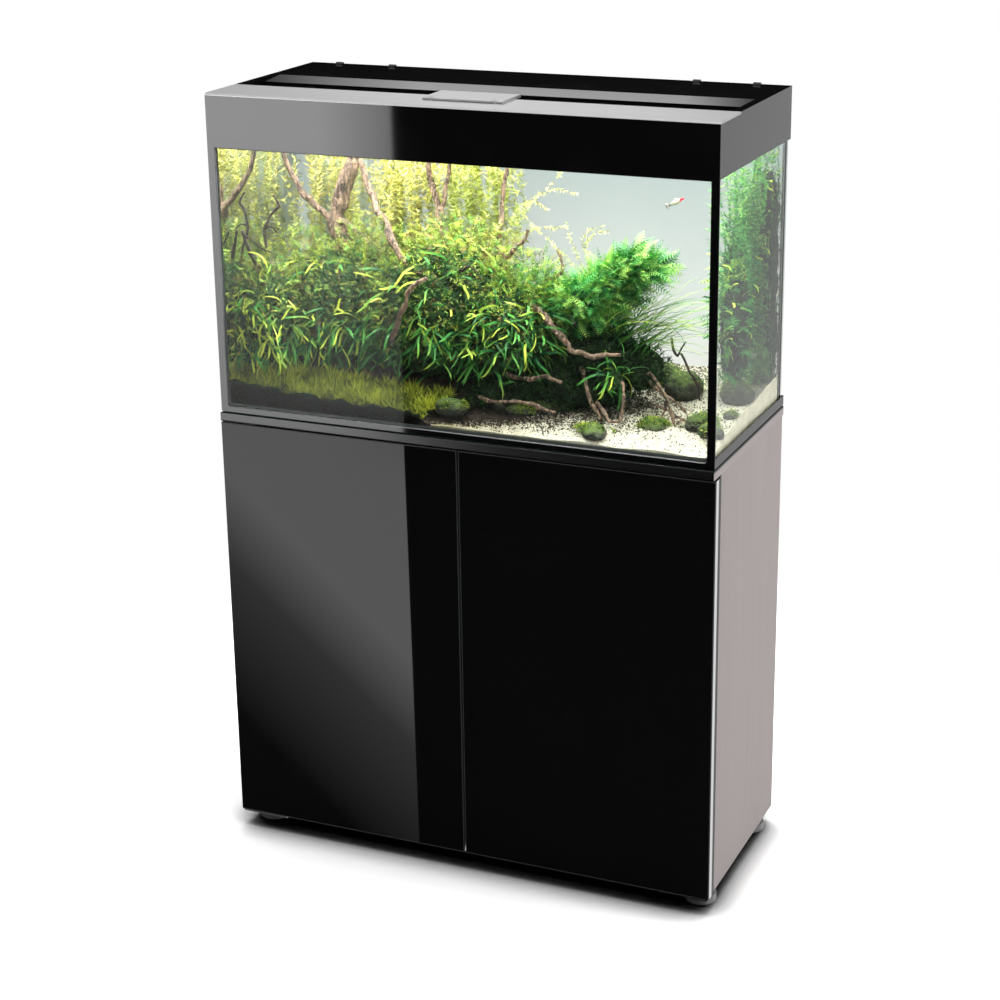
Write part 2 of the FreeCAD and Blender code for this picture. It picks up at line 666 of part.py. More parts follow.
# ---- ground and planting ---------------------------------------------------------------------------
def water_room():
    """Free space of the tank above its floor, inside the silicone."""
    room = box(-WATER_HALF, WATER_HALF, WATER_FRONT, WATER_BACK, Z_FLOOR, Z_RIM)
    return room.cut(silicone_seams())


def border_line(back_half):
    """Plan outline of the soil side (True) or the sand side (False) of the planted border."""
    side = -WATER_HALF if back_half else WATER_HALF
    return [(side, WATER_FRONT), (BORDER_FRONT, WATER_FRONT), (BORDER_BACK, WATER_BACK),
            (side, WATER_BACK)]


def soil():
    """Dark planted ground that rises in two slopes towards the back."""
    middle = (WATER_FRONT + WATER_BACK) / 2
    outline = [(WATER_FRONT, Z_FLOOR), (WATER_BACK, Z_FLOOR), (WATER_BACK, Z_FLOOR + SOIL_BACK),
               (middle, Z_FLOOR + SOIL_MIDDLE), (WATER_FRONT, Z_FLOOR + SOIL_FRONT)]
    bed = prism_x(outline, -WATER_HALF, WATER_HALF)
    return bed.common(prism_z(border_line(True), Z_FLOOR, Z_RIM)).cut(silicone_seams())


def sand():
    """Pale open ground at the right front."""
    outline = [(WATER_FRONT, Z_FLOOR), (WATER_BACK, Z_FLOOR), (WATER_BACK, Z_FLOOR + SAND_BACK),
               (WATER_FRONT, Z_FLOOR + SAND_FRONT)]
    bed = prism_x(outline, -WATER_HALF, WATER_HALF)
    return bed.common(prism_z(border_line(False), Z_FLOOR, Z_RIM)).cut(silicone_seams())


def place(across, along, height):
    """Point in the tank from shares of its inner width and depth and a height above its floor."""
    return (across * WATER_HALF, WATER_FRONT + along * (WATER_BACK - WATER_FRONT), Z_FLOOR + height)


STONES = [  # across, along, height, radii
    (-0.07, 0.17, 24, (34, 24, 20)), (0.06, 0.24, 24, (30, 26, 22)), (0.21, 0.30, 26, (38, 28, 22)),
    (0.38, 0.35, 28, (34, 30, 26)), (0.56, 0.40, 32, (40, 32, 30)), (0.74, 0.30, 26, (30, 24, 22)),
    (0.86, 0.17, 20, (26, 22, 20)), (0.88, 0.55, 36, (34, 30, 26)), (0.80, 0.82, 44, (32, 28, 22)),
]


def stones(ground):
    """Rounded stones along the border and on the sand, bedded flat into the ground."""
    return group([lump(place(*spot[:3]), spot[3]).cut(ground) for spot in STONES])


CROWN = (-0.40, 0.52, 78)               # where the root's trunk and limbs meet
TRUNK = ((-0.52, 0.66, 398), 25, 13)     # top, radius at the crown and at the top
ROOT_BASE = ((-0.46, 0.54, 20), 30, 34)  # foot of the trunk in the soil
LIMBS = [  # start, end, radius at each
    (CROWN, (-0.14, 0.60, 392), 14, 6), (CROWN, (0.34, 0.46, 262), 13, 4), (CROWN, (-0.74, 0.40, 300), 13, 5),
    (CROWN, (0.10, 0.20, 60), 17, 6), ((0.34, 0.52, 120), (0.62, 0.16, 30), 12, 5), (CROWN, (0.40, 0.54, 124), 18, 12),
]


def driftwood(ground, rocks):
    """One branching root: an upright trunk, two long slanted limbs and three roots."""
    parts = [(CROWN,) + TRUNK] + LIMBS + [(CROWN,) + ROOT_BASE]
    wood = [limb(place(*start), place(*end), first, last) for start, end, first, last in parts]
    return union(wood).common(water_room()).cut(ground).cut(rocks)


def clump(lumps, taken):
    """One plain closed solid for a clump of plants, cut clear of what it grows round."""
    balls = [lump(place(*spot[:3]), spot[3]) for spot in lumps]
    return union(balls).common(water_room()).cut(taken)


STRAP_LUMPS = [(-0.66, 0.45, 130, (118, 92, 105)), (-0.22, 0.42, 140, (128, 92, 118)),
               (0.10, 0.42, 118, (92, 82, 92))]
MOUND_LUMPS = [(0.50, 0.50, 118, (104, 84, 118)), (0.62, 0.46, 178, (62, 56, 70))]
STEM_LUMPS = [(-0.79, 0.82, 236, (72, 40, 166)), (-0.46, 0.84, 240, (84, 38, 166)),
              (-0.12, 0.84, 232, (76, 36, 162)), (0.86, 0.78, 180, (40, 58, 160))]


def carpet_moss(taken):
    """Low moss slab on the front of the soil."""
    slope = (SOIL_MIDDLE - SOIL_FRONT) / ((WATER_BACK - WATER_FRONT) / 2)
    y0, y1 = WATER_FRONT, WATER_FRONT + CARPET_DEPTH
    z0, z1 = Z_FLOOR + SOIL_FRONT, Z_FLOOR + SOIL_FRONT + slope * CARPET_DEPTH
    slab = prism_x([(y0, z0), (y1, z1), (y1, z1 + CARPET / 2), (y0, z0 + CARPET)], -WATER_HALF, WATER_HALF)
    return slab.common(prism_z(border_line(True), Z_FLOOR, Z_RIM)).common(water_room()).cut(taken)


# ---- filter and heater -----------------------------------------------------------------------------
def filter_levels():
    top = Z_RIM - FILTER_TOP_DROP
    return top - FILTER_HEAD - FILTER_BODY, top - FILTER_HEAD, top


def filter_x():
    return -WATER_HALF + FILTER_SIDE, -WATER_HALF + FILTER_SIDE + FILTER_WIDTH


def filter_y():
    back = WATER_BACK - CUP_THICK
    return back - FILTER_DEPTH, back


def filter_body():
    """Slotted media housing of the internal filter."""
    bottom, neck, _ = filter_levels()
    (x0, x1), (y0, y1) = filter_x(), filter_y()
    body = box(x0, x1, y0, y1, bottom, neck)
    body = body.makeFillet(FILTER_ROUND, upright_edges(body))
    slots = []
    for row in range(FILTER_SLOTS):
        z = bottom + (2 + row) * FILTER_SLOT_PITCH
        slots.append(box(x0 + FILTER_SLOT_MARGIN, x1 - FILTER_SLOT_MARGIN, y0, y0 + FILTER_SLOT_DEPTH,
                         z, z + FILTER_SLOT_PITCH / 3))
    return body.cut(group(slots))


def filter_head():
    """Pump head with its outlet nozzle."""
    _, neck, top = filter_levels()
    (x0, x1), (y0, y1) = filter_x(), filter_y()
    head = box(x0, x1, y0, y1, neck, top)
    head = head.makeFillet(FILTER_ROUND, upright_edges(head))
    x, z, tip = (x0 + x1) / 2, (neck + top) / 2, y0 - NOZZLE_REACH
    nozzle = rod_y(x, tip, y0 + NOZZLE_RADIUS, z, NOZZLE_RADIUS)
    bore = rod_y(x, tip, y0, z, NOZZLE_RADIUS - NOZZLE_WALL)
    return union([head, nozzle]).cut(bore)


def upright_edges(shape):
    return [e for e in shape.Edges if len(e.Vertexes) == 2
            and near(e.Vertexes[0].Point.x, e.Vertexes[1].Point.x)
            and near(e.Vertexes[0].Point.y, e.Vertexes[1].Point.y)]


def heater_levels():
    top = filter_levels()[2]
    return top - HEATER_LENGTH, top


def heater():
    """Glass heater tube with its control cap."""
    bottom, top = heater_levels()
    x, y = -WATER_HALF + HEATER_SIDE, WATER_BACK - CUP_THICK - HEATER_RADIUS
    tube = post(x, y, bottom, top - HEATER_CAP, HEATER_RADIUS - 1)
    cap = post(x, y, top - HEATER_CAP, top, HEATER_RADIUS)
    foot_cap = post(x, y, bottom, bottom + 12, HEATER_RADIUS)
    return union([tube, cap, foot_cap])


def suction_cups():
    """Two cups behind the filter and two behind the heater, pressed on the back pane."""
    bottom, neck, top = filter_levels()
    x0, x1 = filter_x()
    low, high = heater_levels()
    heater_x = -WATER_HALF + HEATER_SIDE
    spots = [((x0 + x1) / 2, bottom + 30), ((x0 + x1) / 2, (neck + top) / 2),
             (heater_x, low + 6), (heater_x, high - HEATER_CAP / 2)]
    return group([rod_y(x, WATER_BACK - CUP_THICK, WATER_BACK, z, CUP_RADIUS) for x, z in spots])


# ---- hood ------------------------------------------------------------------------------------------
def knuckle_places():
    return [sign * x for sign in (-1, 1) for x in (KNUCKLE_OUTER, KNUCKLE_INNER)]


def port(z0, z1):
    """Feeding opening through the strip and the deck."""
    y0 = FRONT + PORT_FRONT_INSET
    return box(-PORT_WIDTH / 2, PORT_WIDTH / 2, y0, y0 + PORT_DEPTH, z0, z1)


def hood_frame():
    """Moulded hood: four walls, a seat ring on the glass, a front deck, a channel and the lid's rims."""
    inner_half, inner_front, inner_back = HALF_WIDTH - SKIN, FRONT + SKIN, BACK - SKIN
    walls = box(-HALF_WIDTH, HALF_WIDTH, FRONT, BACK, Z_HOOD, Z_TOP)
    walls = walls.cut(box(-inner_half, inner_half, inner_front, inner_back, Z_HOOD, Z_TOP))
    seat = box(-inner_half, inner_half, inner_front, inner_back, Z_RIM, Z_RIM + HOOD_SEAT_THICK)
    seat = seat.cut(box(-inner_half + HOOD_SEAT, inner_half - HOOD_SEAT, inner_front + HOOD_SEAT,
                        inner_back - HOOD_SEAT, Z_RIM, Z_RIM + HOOD_SEAT_THICK))
    deck = box(-inner_half, inner_half, inner_front, STRIP_BACK, Z_STRIP - DECK, Z_STRIP)
    step = box(-inner_half, inner_half, STRIP_BACK - SKIN, STRIP_BACK, Z_CHANNEL - DECK, Z_STRIP)
    channel = box(-inner_half, inner_half, STRIP_BACK, CHANNEL_BACK, Z_CHANNEL - DECK, Z_CHANNEL)
    z_ledge = lid_front_underside() - REST_GAP
    ledge = union([box(-inner_half, inner_half, CHANNEL_BACK - SKIN, CHANNEL_BACK, z_ledge - DECK, Z_CHANNEL),
                   box(-inner_half, inner_half, CHANNEL_BACK - SKIN, CHANNEL_BACK + LEDGE,
                       z_ledge - DECK, z_ledge)])
    rim_inner = HALF_WIDTH - SIDE_RIM
    z_rim = Z_TOP - RIM_HEIGHT
    side_rims = [box(sign * rim_inner, sign * HALF_WIDTH, STRIP_BACK - SKIN, BACK, z_rim, Z_TOP)
                 for sign in SIDES.values()]
    z_side_ledge = Z_LID - LID_THICK - REST_GAP
    flat_front = LID_FRONT + LID_SLOPE + LID_GAP
    side_ledges = [box(sign * (rim_inner - LEDGE), sign * rim_inner, flat_front, LID_BACK,
                       z_side_ledge - DECK, z_side_ledge) for sign in SIDES.values()]
    back_rim = box(-HALF_WIDTH, HALF_WIDTH, BACK - BACK_RIM, BACK, z_rim, Z_TOP)
    frame = union([walls, seat, deck, step, channel, ledge, back_rim] + side_rims + side_ledges)
    frame = frame.cut(box(-HALF_WIDTH, HALF_WIDTH, FRONT, STRIP_BACK, Z_STRIP, Z_TOP))
    frame = frame.cut(port(Z_STRIP - DECK, Z_STRIP))
    notch = box(-CABLE_NOTCH_SIDE - CABLE_NOTCH_WIDTH / 2, -CABLE_NOTCH_SIDE + CABLE_NOTCH_WIDTH / 2,
                BACK - SKIN, BACK, Z_RIM + HOOD_SEAT_THICK, Z_RIM + HOOD_SEAT_THICK + CABLE_NOTCH_HEIGHT)
    frame = frame.cut(notch)
    half = KNUCKLE_WIDTH / 2 + KNUCKLE_SIDE_GAP
    for x in knuckle_places():
        frame = frame.cut(box(x - half, x + half, BACK - BACK_RIM, BACK,
                              LID_AXIS_Z - KNUCKLE_RADIUS - KNUCKLE_SIDE_GAP, Z_TOP))
        frame = frame.cut(lid_pin(x, HOLE_FIT))
    return frame


def top_strip():
    """Satin metal strip with a bevelled front edge, the feeding port and the two ears of the flap."""
    strip = box(-HALF_WIDTH, HALF_WIDTH, FRONT, STRIP_BACK, Z_STRIP, Z_TOP)
    front_edge = edges_at(strip, lambda p: near(p.y, FRONT) and near(p.z, Z_TOP))
    strip = strip.makeChamfer(min(STRIP_BEVEL, STRIP - 0.5), front_edge)
    strip = strip.cut(port(Z_STRIP, Z_TOP))
    round_over = FLAP_THICK / 2 - 0.2
    ears = []
    for sign in SIDES.values():
        x0, x1 = sign * FLAP_EAR_SIDE - FLAP_EAR / 2, sign * FLAP_EAR_SIDE + FLAP_EAR / 2
        ears.append(union([box(x0, x1, FLAP_AXIS_Y - round_over, FLAP_AXIS_Y + round_over,
                               Z_TOP, FLAP_AXIS_Z),
                           rod_x(x0, x1, FLAP_AXIS_Y, FLAP_AXIS_Z, round_over)]))
    strip = union([strip] + ears)
    return strip.cut(flap_pin_bar(HOLE_FIT / 2))


def flap_pin_bar(slack):
    half = FLAP_WIDTH / 2 - 2.0 + slack
    return rod_x(-half, half, FLAP_AXIS_Y, FLAP_AXIS_Z, FLAP_PIN_RADIUS + slack)


def flap_hinge_pin():
    return flap_pin_bar(0)


def feeding_flap():
    """Plate over the feeding port, hinged along its front edge, its back edge hanging over the channel."""
    half, z0 = FLAP_WIDTH / 2, FLAP_AXIS_Z - FLAP_THICK / 2
    plate = box(-half, half, FLAP_AXIS_Y, FLAP_BACK, z0, z0 + FLAP_THICK)
    plate = union([plate, rod_x(-half, half, FLAP_AXIS_Y, FLAP_AXIS_Z, FLAP_THICK / 2)])
    for sign in SIDES.values():
        x0 = sign * FLAP_EAR_SIDE - FLAP_EAR / 2 - FLAP_NOTCH_GAP
        x1 = sign * FLAP_EAR_SIDE + FLAP_EAR / 2 + FLAP_NOTCH_GAP
        plate = plate.cut(box(x0, x1, FLAP_AXIS_Y - FLAP_THICK, FLAP_AXIS_Y + FLAP_THICK * 0.85,
                              z0, z0 + FLAP_THICK))
    return plate.cut(rod_x(-half + 1.5, half - 1.5, FLAP_AXIS_Y, FLAP_AXIS_Z,
                           FLAP_PIN_RADIUS + PIVOT_FIT))


def lid_front_underside():
    """Underside of the lid at its front edge."""
    return Z_CHANNEL + LID_FRONT_RISE - LID_THICK


def lid():
    """Gloss panel with an upright front lip, a gentle slope, a flat part and four knuckles."""
    lip_top = Z_LID - LID_LIP_DROP
    bend = LID_FRONT + LID_SLOPE
    outline = [(LID_FRONT, lip_top), (LID_FRONT, lid_front_underside()),
               (LID_FRONT + LID_THICK, lid_front_underside()), (LID_FRONT + LID_THICK, lip_top - LID_THICK),
               (bend, Z_LID - LID_THICK), (LID_BACK, Z_LID - LID_THICK), (LID_BACK, Z_LID), (bend, Z_LID)]
    panel = prism_x(outline, -LID_HALF, LID_HALF)
    half = KNUCKLE_WIDTH / 2
    knuckles = []
    for x in knuckle_places():
        knuckles.append(rod_x(x - half, x + half, LID_AXIS_Y, LID_AXIS_Z, KNUCKLE_RADIUS))
        knuckles.append(box(x - half, x + half, LID_BACK - 1.0, LID_AXIS_Y, Z_LID - LID_THICK, Z_LID))
    panel = union([panel] + knuckles)
    for x in knuckle_places():
        panel = panel.cut(rod_x(x - half, x + half, LID_AXIS_Y, LID_AXIS_Z, LID_PIN_RADIUS + PIVOT_FIT))
    return panel


def lid_pin(x, slack):
    half = KNUCKLE_WIDTH / 2 + KNUCKLE_SIDE_GAP + LID_PIN_SEAT
    return rod_x(x - half - slack, x + half + slack, LID_AXIS_Y, LID_AXIS_Z, LID_PIN_RADIUS + slack)


def lid_hinge_pins():
    return group([lid_pin(x, 0) for x in knuckle_places()])


def tube_rows():
    return {"front": FRONT + TUBE_FRONT_INSET, "back": FRONT + TUBE_BACK_INSET}


def led_tube(y):
    """Light tube with a metal cap on each end."""
    z, half = Z_TOP - TUBE_DROP, TUBE_LENGTH / 2
    glass = rod_x(-half + TUBE_CAP, half - TUBE_CAP, y, z, TUBE_RADIUS - 0.8)
    caps = [rod_x(sign * half, sign * (half - TUBE_CAP), y, z, TUBE_RADIUS) for sign in SIDES.values()]
    return union([glass] + caps)


def lamp_holders():
    """Four sockets that hang from the deck and the channel and carry the ends of the tubes."""
    holders = []
    undersides = {"front": Z_STRIP - DECK, "back": Z_CHANNEL - DECK}
    for row, y in tube_rows().items():
        for sign in SIDES.values():
            x = sign * TUBE_LENGTH / 2
            holders.append(box(x, x + sign * HOLDER_WIDTH, y - HOLDER_DEPTH / 2, y + HOLDER_DEPTH / 2,
                               Z_TOP - TUBE_DROP - TUBE_RADIUS, undersides[row]))
    return group(holders)


# ---- whole object ----------------------------------------------------------------------------------
def build():
    """Every node by name."""
    nodes = {name: foot(x, y) for name, x, y in foot_places()}
    nodes["bottom_panel"] = bottom_panel()
    nodes["back_panel"] = back_panel()
    nodes["cable_grommets"] = cable_grommets()
    nodes["center_partition"] = center_partition()
    nodes["shelf"] = shelf()
    nodes["shelf_pins"] = shelf_pins()
    nodes["edge_strips"] = edge_strips()
    nodes["dowels"] = dowels()
    nodes["top_board"] = top_board()
    nodes["foam_mat"] = foam_mat()
    nodes["pivot_screws"] = pivot_screws()
    nodes["magnetic_catches"] = magnetic_catches()
    for side, sign in SIDES.items():
        nodes[f"side_panel_{side}"] = side_panel(sign)
        nodes[f"top_pivot_{side}"] = top_pivot(sign)
        nodes[f"bottom_pivot_{side}"] = bottom_pivot(sign)
        nodes[f"door_board_{side}"] = door_board(sign)
        nodes[f"door_glass_{side}"] = door_glass(sign)
        nodes[f"door_trim_{side}"] = door_trim(sign)
        nodes[f"strike_plate_{side}"] = strike_plate(sign)
        nodes[f"glass_{side}"] = glass_side(sign)
    nodes["glass_bottom"] = glass_bottom()
    nodes["glass_front"] = glass_front()
    nodes["glass_back"] = glass_back()
    nodes["silicone_seams"] = silicone_seams()
    nodes["front_bezel"] = front_bezel()
    nodes["bottom_frame"] = bottom_frame()
    nodes["background_film"] = background_film()
    nodes.update(planting())
    nodes["hood_frame"] = hood_frame()
    nodes["top_strip"] = top_strip()
    nodes["feeding_flap"] = feeding_flap()
    nodes["flap_hinge_pin"] = flap_hinge_pin()
    nodes["lid"] = lid()
    nodes["lid_hinge_pins"] = lid_hinge_pins()
    for row, y in tube_rows().items():
        nodes[f"led_tube_{row}"] = led_tube(y)
    nodes["lamp_holders"] = lamp_holders()
    return nodes


def planting():
    """Ground, stones, wood, plants and the equipment behind them, each cut clear of the one before."""
    nodes = {"soil": soil(), "sand": sand()}
    ground = group([nodes["soil"], nodes["sand"]])
    nodes["stones"] = stones(ground)
    nodes["driftwood"] = driftwood(ground, nodes["stones"])
    nodes["filter_body"] = filter_body()
    nodes["filter_head"] = filter_head()
    nodes["heater"] = heater()
    nodes["suction_cups"] = suction_cups()
    taken = group([ground] + [nodes[n] for n in ("stones", "driftwood", "filter_body", "filter_head",
                                                 "heater", "suction_cups")])
    for name, lumps in (("strap_plants", STRAP_LUMPS), ("moss_mound", MOUND_LUMPS),
                        ("stem_plants", STEM_LUMPS)):
        nodes[name] = clump(lumps, taken)
        taken = group([taken, nodes[name]])
    nodes["carpet_moss"] = carpet_moss(taken)
    return nodes


def export(nodes):
    os.makedirs("parts", exist_ok=True)
    for name, shape in nodes.items():
        if not shape.isValid() or not shape.Solids:
            raise ValueError(f"{name} is not a valid solid")
        shape.exportStep(f"parts/{name}.step")
        print(f"{name:20s} solids {len(shape.Solids):3d} faces {len(shape.Faces):4d} "
              f"volume {shape.Volume / 1000:10.1f} cm3")


export(build())
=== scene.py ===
"""Looks of a planted aquarium on its cabinet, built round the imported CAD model.

Laid out as an add-on: sizes and colours are settings, each group of pieces is an operator,
and main() runs them in order when the file is run as a script.
"""
import json
import math
import random

import bmesh
import bpy
import numpy as np
from mathutils import Euler, Matrix, Quaternion, Vector, noise


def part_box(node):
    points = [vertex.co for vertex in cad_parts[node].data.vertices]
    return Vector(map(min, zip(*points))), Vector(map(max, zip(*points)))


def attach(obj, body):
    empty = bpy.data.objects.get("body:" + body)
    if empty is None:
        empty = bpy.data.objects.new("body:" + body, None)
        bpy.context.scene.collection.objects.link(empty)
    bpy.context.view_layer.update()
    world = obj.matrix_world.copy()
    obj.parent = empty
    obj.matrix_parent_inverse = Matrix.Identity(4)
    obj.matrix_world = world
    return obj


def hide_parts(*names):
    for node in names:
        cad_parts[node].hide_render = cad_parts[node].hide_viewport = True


bl_info = {
    "name": "Aquarium on stand",
    "version": (1, 0, 0),
    "blender": (4, 5, 0),
    "location": "View3D > Sidebar > Aquarium",
    "description": "Finishes, planting, water and studio for the packed aquarium",
    "category": "Object",
}

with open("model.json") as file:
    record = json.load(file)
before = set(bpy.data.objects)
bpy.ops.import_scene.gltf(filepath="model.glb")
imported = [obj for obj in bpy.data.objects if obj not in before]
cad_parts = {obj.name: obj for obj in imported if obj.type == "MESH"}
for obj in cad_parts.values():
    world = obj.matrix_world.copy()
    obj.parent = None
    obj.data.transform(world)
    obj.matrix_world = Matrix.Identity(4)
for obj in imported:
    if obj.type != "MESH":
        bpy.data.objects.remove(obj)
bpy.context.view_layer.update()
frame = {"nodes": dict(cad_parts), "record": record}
SLOT_OF = {part["node"]: part["material_slot"] for part in frame["record"]["subparts"]}
FIXED = "stand_and_tank"                     # the body that everything in the tank rides on

# The water room: the space between the panes, in metres.
ROOM_LOW = Vector((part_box("glass_left")[1].x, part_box("glass_front")[1].y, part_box("glass_bottom")[1].z))
ROOM_HIGH = Vector((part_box("glass_right")[0].x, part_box("glass_back")[0].y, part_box("glass_front")[1].z))
ROOM_HALF = (ROOM_HIGH.x - ROOM_LOW.x) / 2
ROOM_DEPTH = ROOM_HIGH.y - ROOM_LOW.y
HOOD_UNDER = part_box("hood_frame")[0].z
GLASS_GAP = 0.0015                           # kept clear between a planted piece and a pane
UNDER_WATER = 0.004                          # kept clear between a leaf and the water's surface
ROOTED = 0.004                               # how deep a stem stands in the ground
WHOLE_TURN = 6.3                             # a random roll is drawn from this, in radians

SOIL_RISE = (0.034, 0.066, 0.088)            # soil above the tank floor at front, middle and back
SAND_RISE = (0.017, 0.044)                   # sand at front and back
BORDER_X = (-0.055, 0.130)                   # where soil meets sand, at the front and back panes
SAND_DIP = (0.011, 0.050)                    # how far the sand falls at the front pane, and over what depth
SOIL_FALL = (0.055, 0.45)                    # slope of the soil along the front, and the share of the depth it has
LITTER = (-0.048, 0.215, 0.075, 0.06)        # where the litter starts at the front, its spread, reach and drift


def place(across, along, height):
    """Point in the tank from shares of its half width and depth and a height above its floor in metres."""
    return Vector((across * ROOM_HALF, ROOM_LOW.y + along * ROOM_DEPTH, ROOM_LOW.z + height))


def clamp(value):
    """The value held between 0 and 1."""
    return max(0.0, min(1.0, value))


def depth_of(y):
    """Share of the way from the front pane to the back pane."""
    return (y - ROOM_LOW.y) / ROOM_DEPTH


def border_at(y):
    """Where the soil gives way to sand at this depth."""
    return BORDER_X[0] + depth_of(y) * (BORDER_X[1] - BORDER_X[0])


def soil_at(y):
    """Height of the soil at this depth."""
    share = clamp(depth_of(y)) * 2
    low, high = SOIL_RISE[:2] if share < 1 else SOIL_RISE[1:]
    return ROOM_LOW.z + low + (share % 1 if share < 2 else 1) * (high - low)


def sand_line(y):
    """Height of the raked sand: it falls away towards the front pane."""
    near = clamp(1 - (y - ROOM_LOW.y) / SAND_DIP[1])
    level = ROOM_LOW.z + SAND_RISE[0] + clamp(depth_of(y)) * (SAND_RISE[1] - SAND_RISE[0])
    return level - SAND_DIP[0] * near * near * (3 - 2 * near)


def soil_line(x, y):
    """Height of the raked soil: lower towards the middle of the front, it slips down to the sand at the border."""
    fall = SOIL_FALL[0] * (x - ROOM_LOW.x) * max(0.0, 1 - (y - ROOM_LOW.y) / (SOIL_FALL[1] * ROOM_DEPTH))
    return min(soil_at(y) - fall, sand_line(y) + 0.002 + 0.55 * max(0.0, border_at(y) - x))


def litter_line(y):
    """How far the dark litter has spread over the sand at this depth."""
    share = depth_of(y)
    start, spread_out, reach, drift = LITTER
    return max(border_at(y), start + spread_out * (1 - math.exp(-max(0.0, share - 0.015) / reach)) + drift * share)


def ground_at(x, y):
    """Height of whichever ground lies here."""
    return soil_line(x, y) if x < border_at(y) else sand_line(y)


def noise_at(x, y, scale, layer):
    """Noise over the ground, from -1 to 1; each layer has a pattern of its own."""
    return noise.noise(Vector((x * scale, y * scale, layer)))


# ---------------------------------------------------------------- settings

def size(name, text, default, **more):
    """One length setting, in metres."""
    return bpy.props.FloatProperty(name=name, description=text, default=default, unit="LENGTH", precision=4, **more)


def amount(name, text, default):
    """One count setting."""
    return bpy.props.IntProperty(name=name, description=text, default=default, min=0)


def tint(name, text, default):
    """One colour setting."""
    return bpy.props.FloatVectorProperty(name=name, description=text, default=default, size=3,
                                         subtype="COLOR", min=0, max=1)


class AquariumSizes(bpy.types.PropertyGroup):
    """Sizes and counts of what is planted in the tank"""
    water_level: size("Water level", "Height of the water above the tank floor", 0.416)
    strap_length: size("Strap leaf length", "Longest strap leaf", 0.056)
    strap_width: size("Strap leaf width", "Width of a strap leaf", 0.0036)
    strap_count: amount("Strap leaves", "Strap leaves in the thicket", 4200)
    sprig_count: amount("Moss sprigs", "Feathery sprigs over the thicket", 5600)
    moss_count: amount("Moss leaves", "Small mixed leaves over the upper thicket", 13000)
    blade_count: amount("Long blades", "Thin blades that lean out of the fern mound", 120)
    frond_length: size("Frond length", "Longest fern frond", 0.046)
    frond_count: amount("Fern fronds", "Fronds on the fern mound", 1700)
    stem_count: amount("Stems", "Fine-leaved stems along the back", 205)
    stem_leaf: size("Stem leaf length", "Length of one leaf of the stem plants", 0.0115)
    tuft_count: amount("Moss tufts", "Tufts of carpet moss on the front soil", 3600)
    tuft_height: size("Moss tuft height", "Height of a tuft of carpet moss", 0.019)
    grain_size: size("Soil grain", "Diameter of a loose grain of soil", 0.0034)
    speck_size: size("Sand speck", "Diameter of a dark speck in the sand", 0.0026)
    fish_length: size("Fish length", "Length of the small fish", 0.025)


class AquariumColours(bpy.types.PropertyGroup):
    """Colours of the finishes and the planting"""
    gloss_black: tint("Gloss black", "Moulded hood", (0.006, 0.006, 0.0065))
    black_plastic: tint("Black plastic", "Satin plastic of filter, grommets and frame", (0.016, 0.016, 0.017))
    black_glass: tint("Black glass", "Back-lacquered door glass", (0.0060, 0.0060, 0.0062))
    black_board: tint("Black board", "Black laminate", (0.012, 0.012, 0.013))
    taupe_board: tint("Taupe board", "Taupe laminate of the side panels", (0.445, 0.385, 0.375))
    glass_tint: tint("Glass tint", "Tint of the clear panes", (0.982, 0.996, 0.990))
    polished: tint("Polished metal", "Door trims", (0.86, 0.86, 0.87))
    satin: tint("Satin metal", "Front strip of the hood", (0.57, 0.57, 0.57))
    steel: tint("Steel", "Pins, screws and pivots", (0.60, 0.60, 0.62))
    beech: tint("Beech", "Dowels", (0.58, 0.40, 0.22))
    foot: tint("Foot plastic", "Grey translucent feet", (0.55, 0.56, 0.57))
    foam: tint("Foam", "Foam mat under the tank", (0.03, 0.12, 0.10))
    silicone: tint("Silicone", "Seams between the panes", (0.62, 0.66, 0.62))
    film_top: tint("Film, top", "Frosted film near the hood", (0.62, 0.71, 0.69))
    film_foot: tint("Film, foot", "Frosted film near the sand", (1.0, 1.0, 0.95))
    soil: tint("Soil", "Dark granular soil", (0.034, 0.024, 0.015))
    sand: tint("Sand", "Fine cream sand", (0.86, 0.81, 0.63))
    speck: tint("Speck", "Dark grains in the sand", (0.10, 0.085, 0.045))
    stone: tint("Stone", "Rounded stones", (0.050, 0.056, 0.036))
    stone_moss: tint("Stone moss", "Moss film on stones", (0.11, 0.17, 0.035))
    wood: tint("Root wood", "Waterlogged root", (0.22, 0.145, 0.095))
    wood_dark: tint("Dark wood", "Bark left on the root", (0.045, 0.030, 0.022))
    leaf_deep: tint("Leaf, deep", "Shaded strap leaves", (0.003, 0.085, 0.026))
    leaf_bright: tint("Leaf, bright", "Lit strap leaves", (0.72, 0.86, 0.10))
    # The deep and bright fern colours are the shaded and lit ends of one green: a frond's place between them holds
    # painted light.
    fern_deep: tint("Fern, deep", "Inner fern fronds", (0.016, 0.150, 0.030))
    fern_bright: tint("Fern, bright", "Outer fern fronds", (0.54, 0.80, 0.16))
    stem_deep: tint("Stem plant, deep", "Lower stem leaves", (0.34, 0.42, 0.070))
    stem_bright: tint("Stem plant, bright", "Upper stem leaves", (0.88, 0.79, 0.25))
    spray: tint("Young stem", "Pale sprays over the thicket", (0.80, 0.66, 0.30))
    # Moss, deep also colours the dark hearts of the clumps, which are painted shade.
    moss_deep: tint("Moss, deep", "Dark moss inside the clumps", (0.010, 0.028, 0.007))
    carpet_deep: tint("Carpet, deep", "Base of the carpet moss", (0.045, 0.065, 0.010))
    carpet_bright: tint("Carpet, bright", "Tips of the carpet moss", (0.66, 0.70, 0.075))
    litter: tint("Litter", "Brown leaves among the moss", (0.42, 0.27, 0.09))
    lamp: tint("Lamp", "Opal lamp tubes", (0.95, 0.98, 1.0))


def settings_of(context):
    """Both groups of settings."""
    return context.scene.aquarium_sizes, context.scene.aquarium_colours


def water_line():
    """Height of the water's surface."""
    return ROOM_LOW.z + bpy.context.scene.aquarium_sizes.water_level


# ---------------------------------------------------------------- nodes

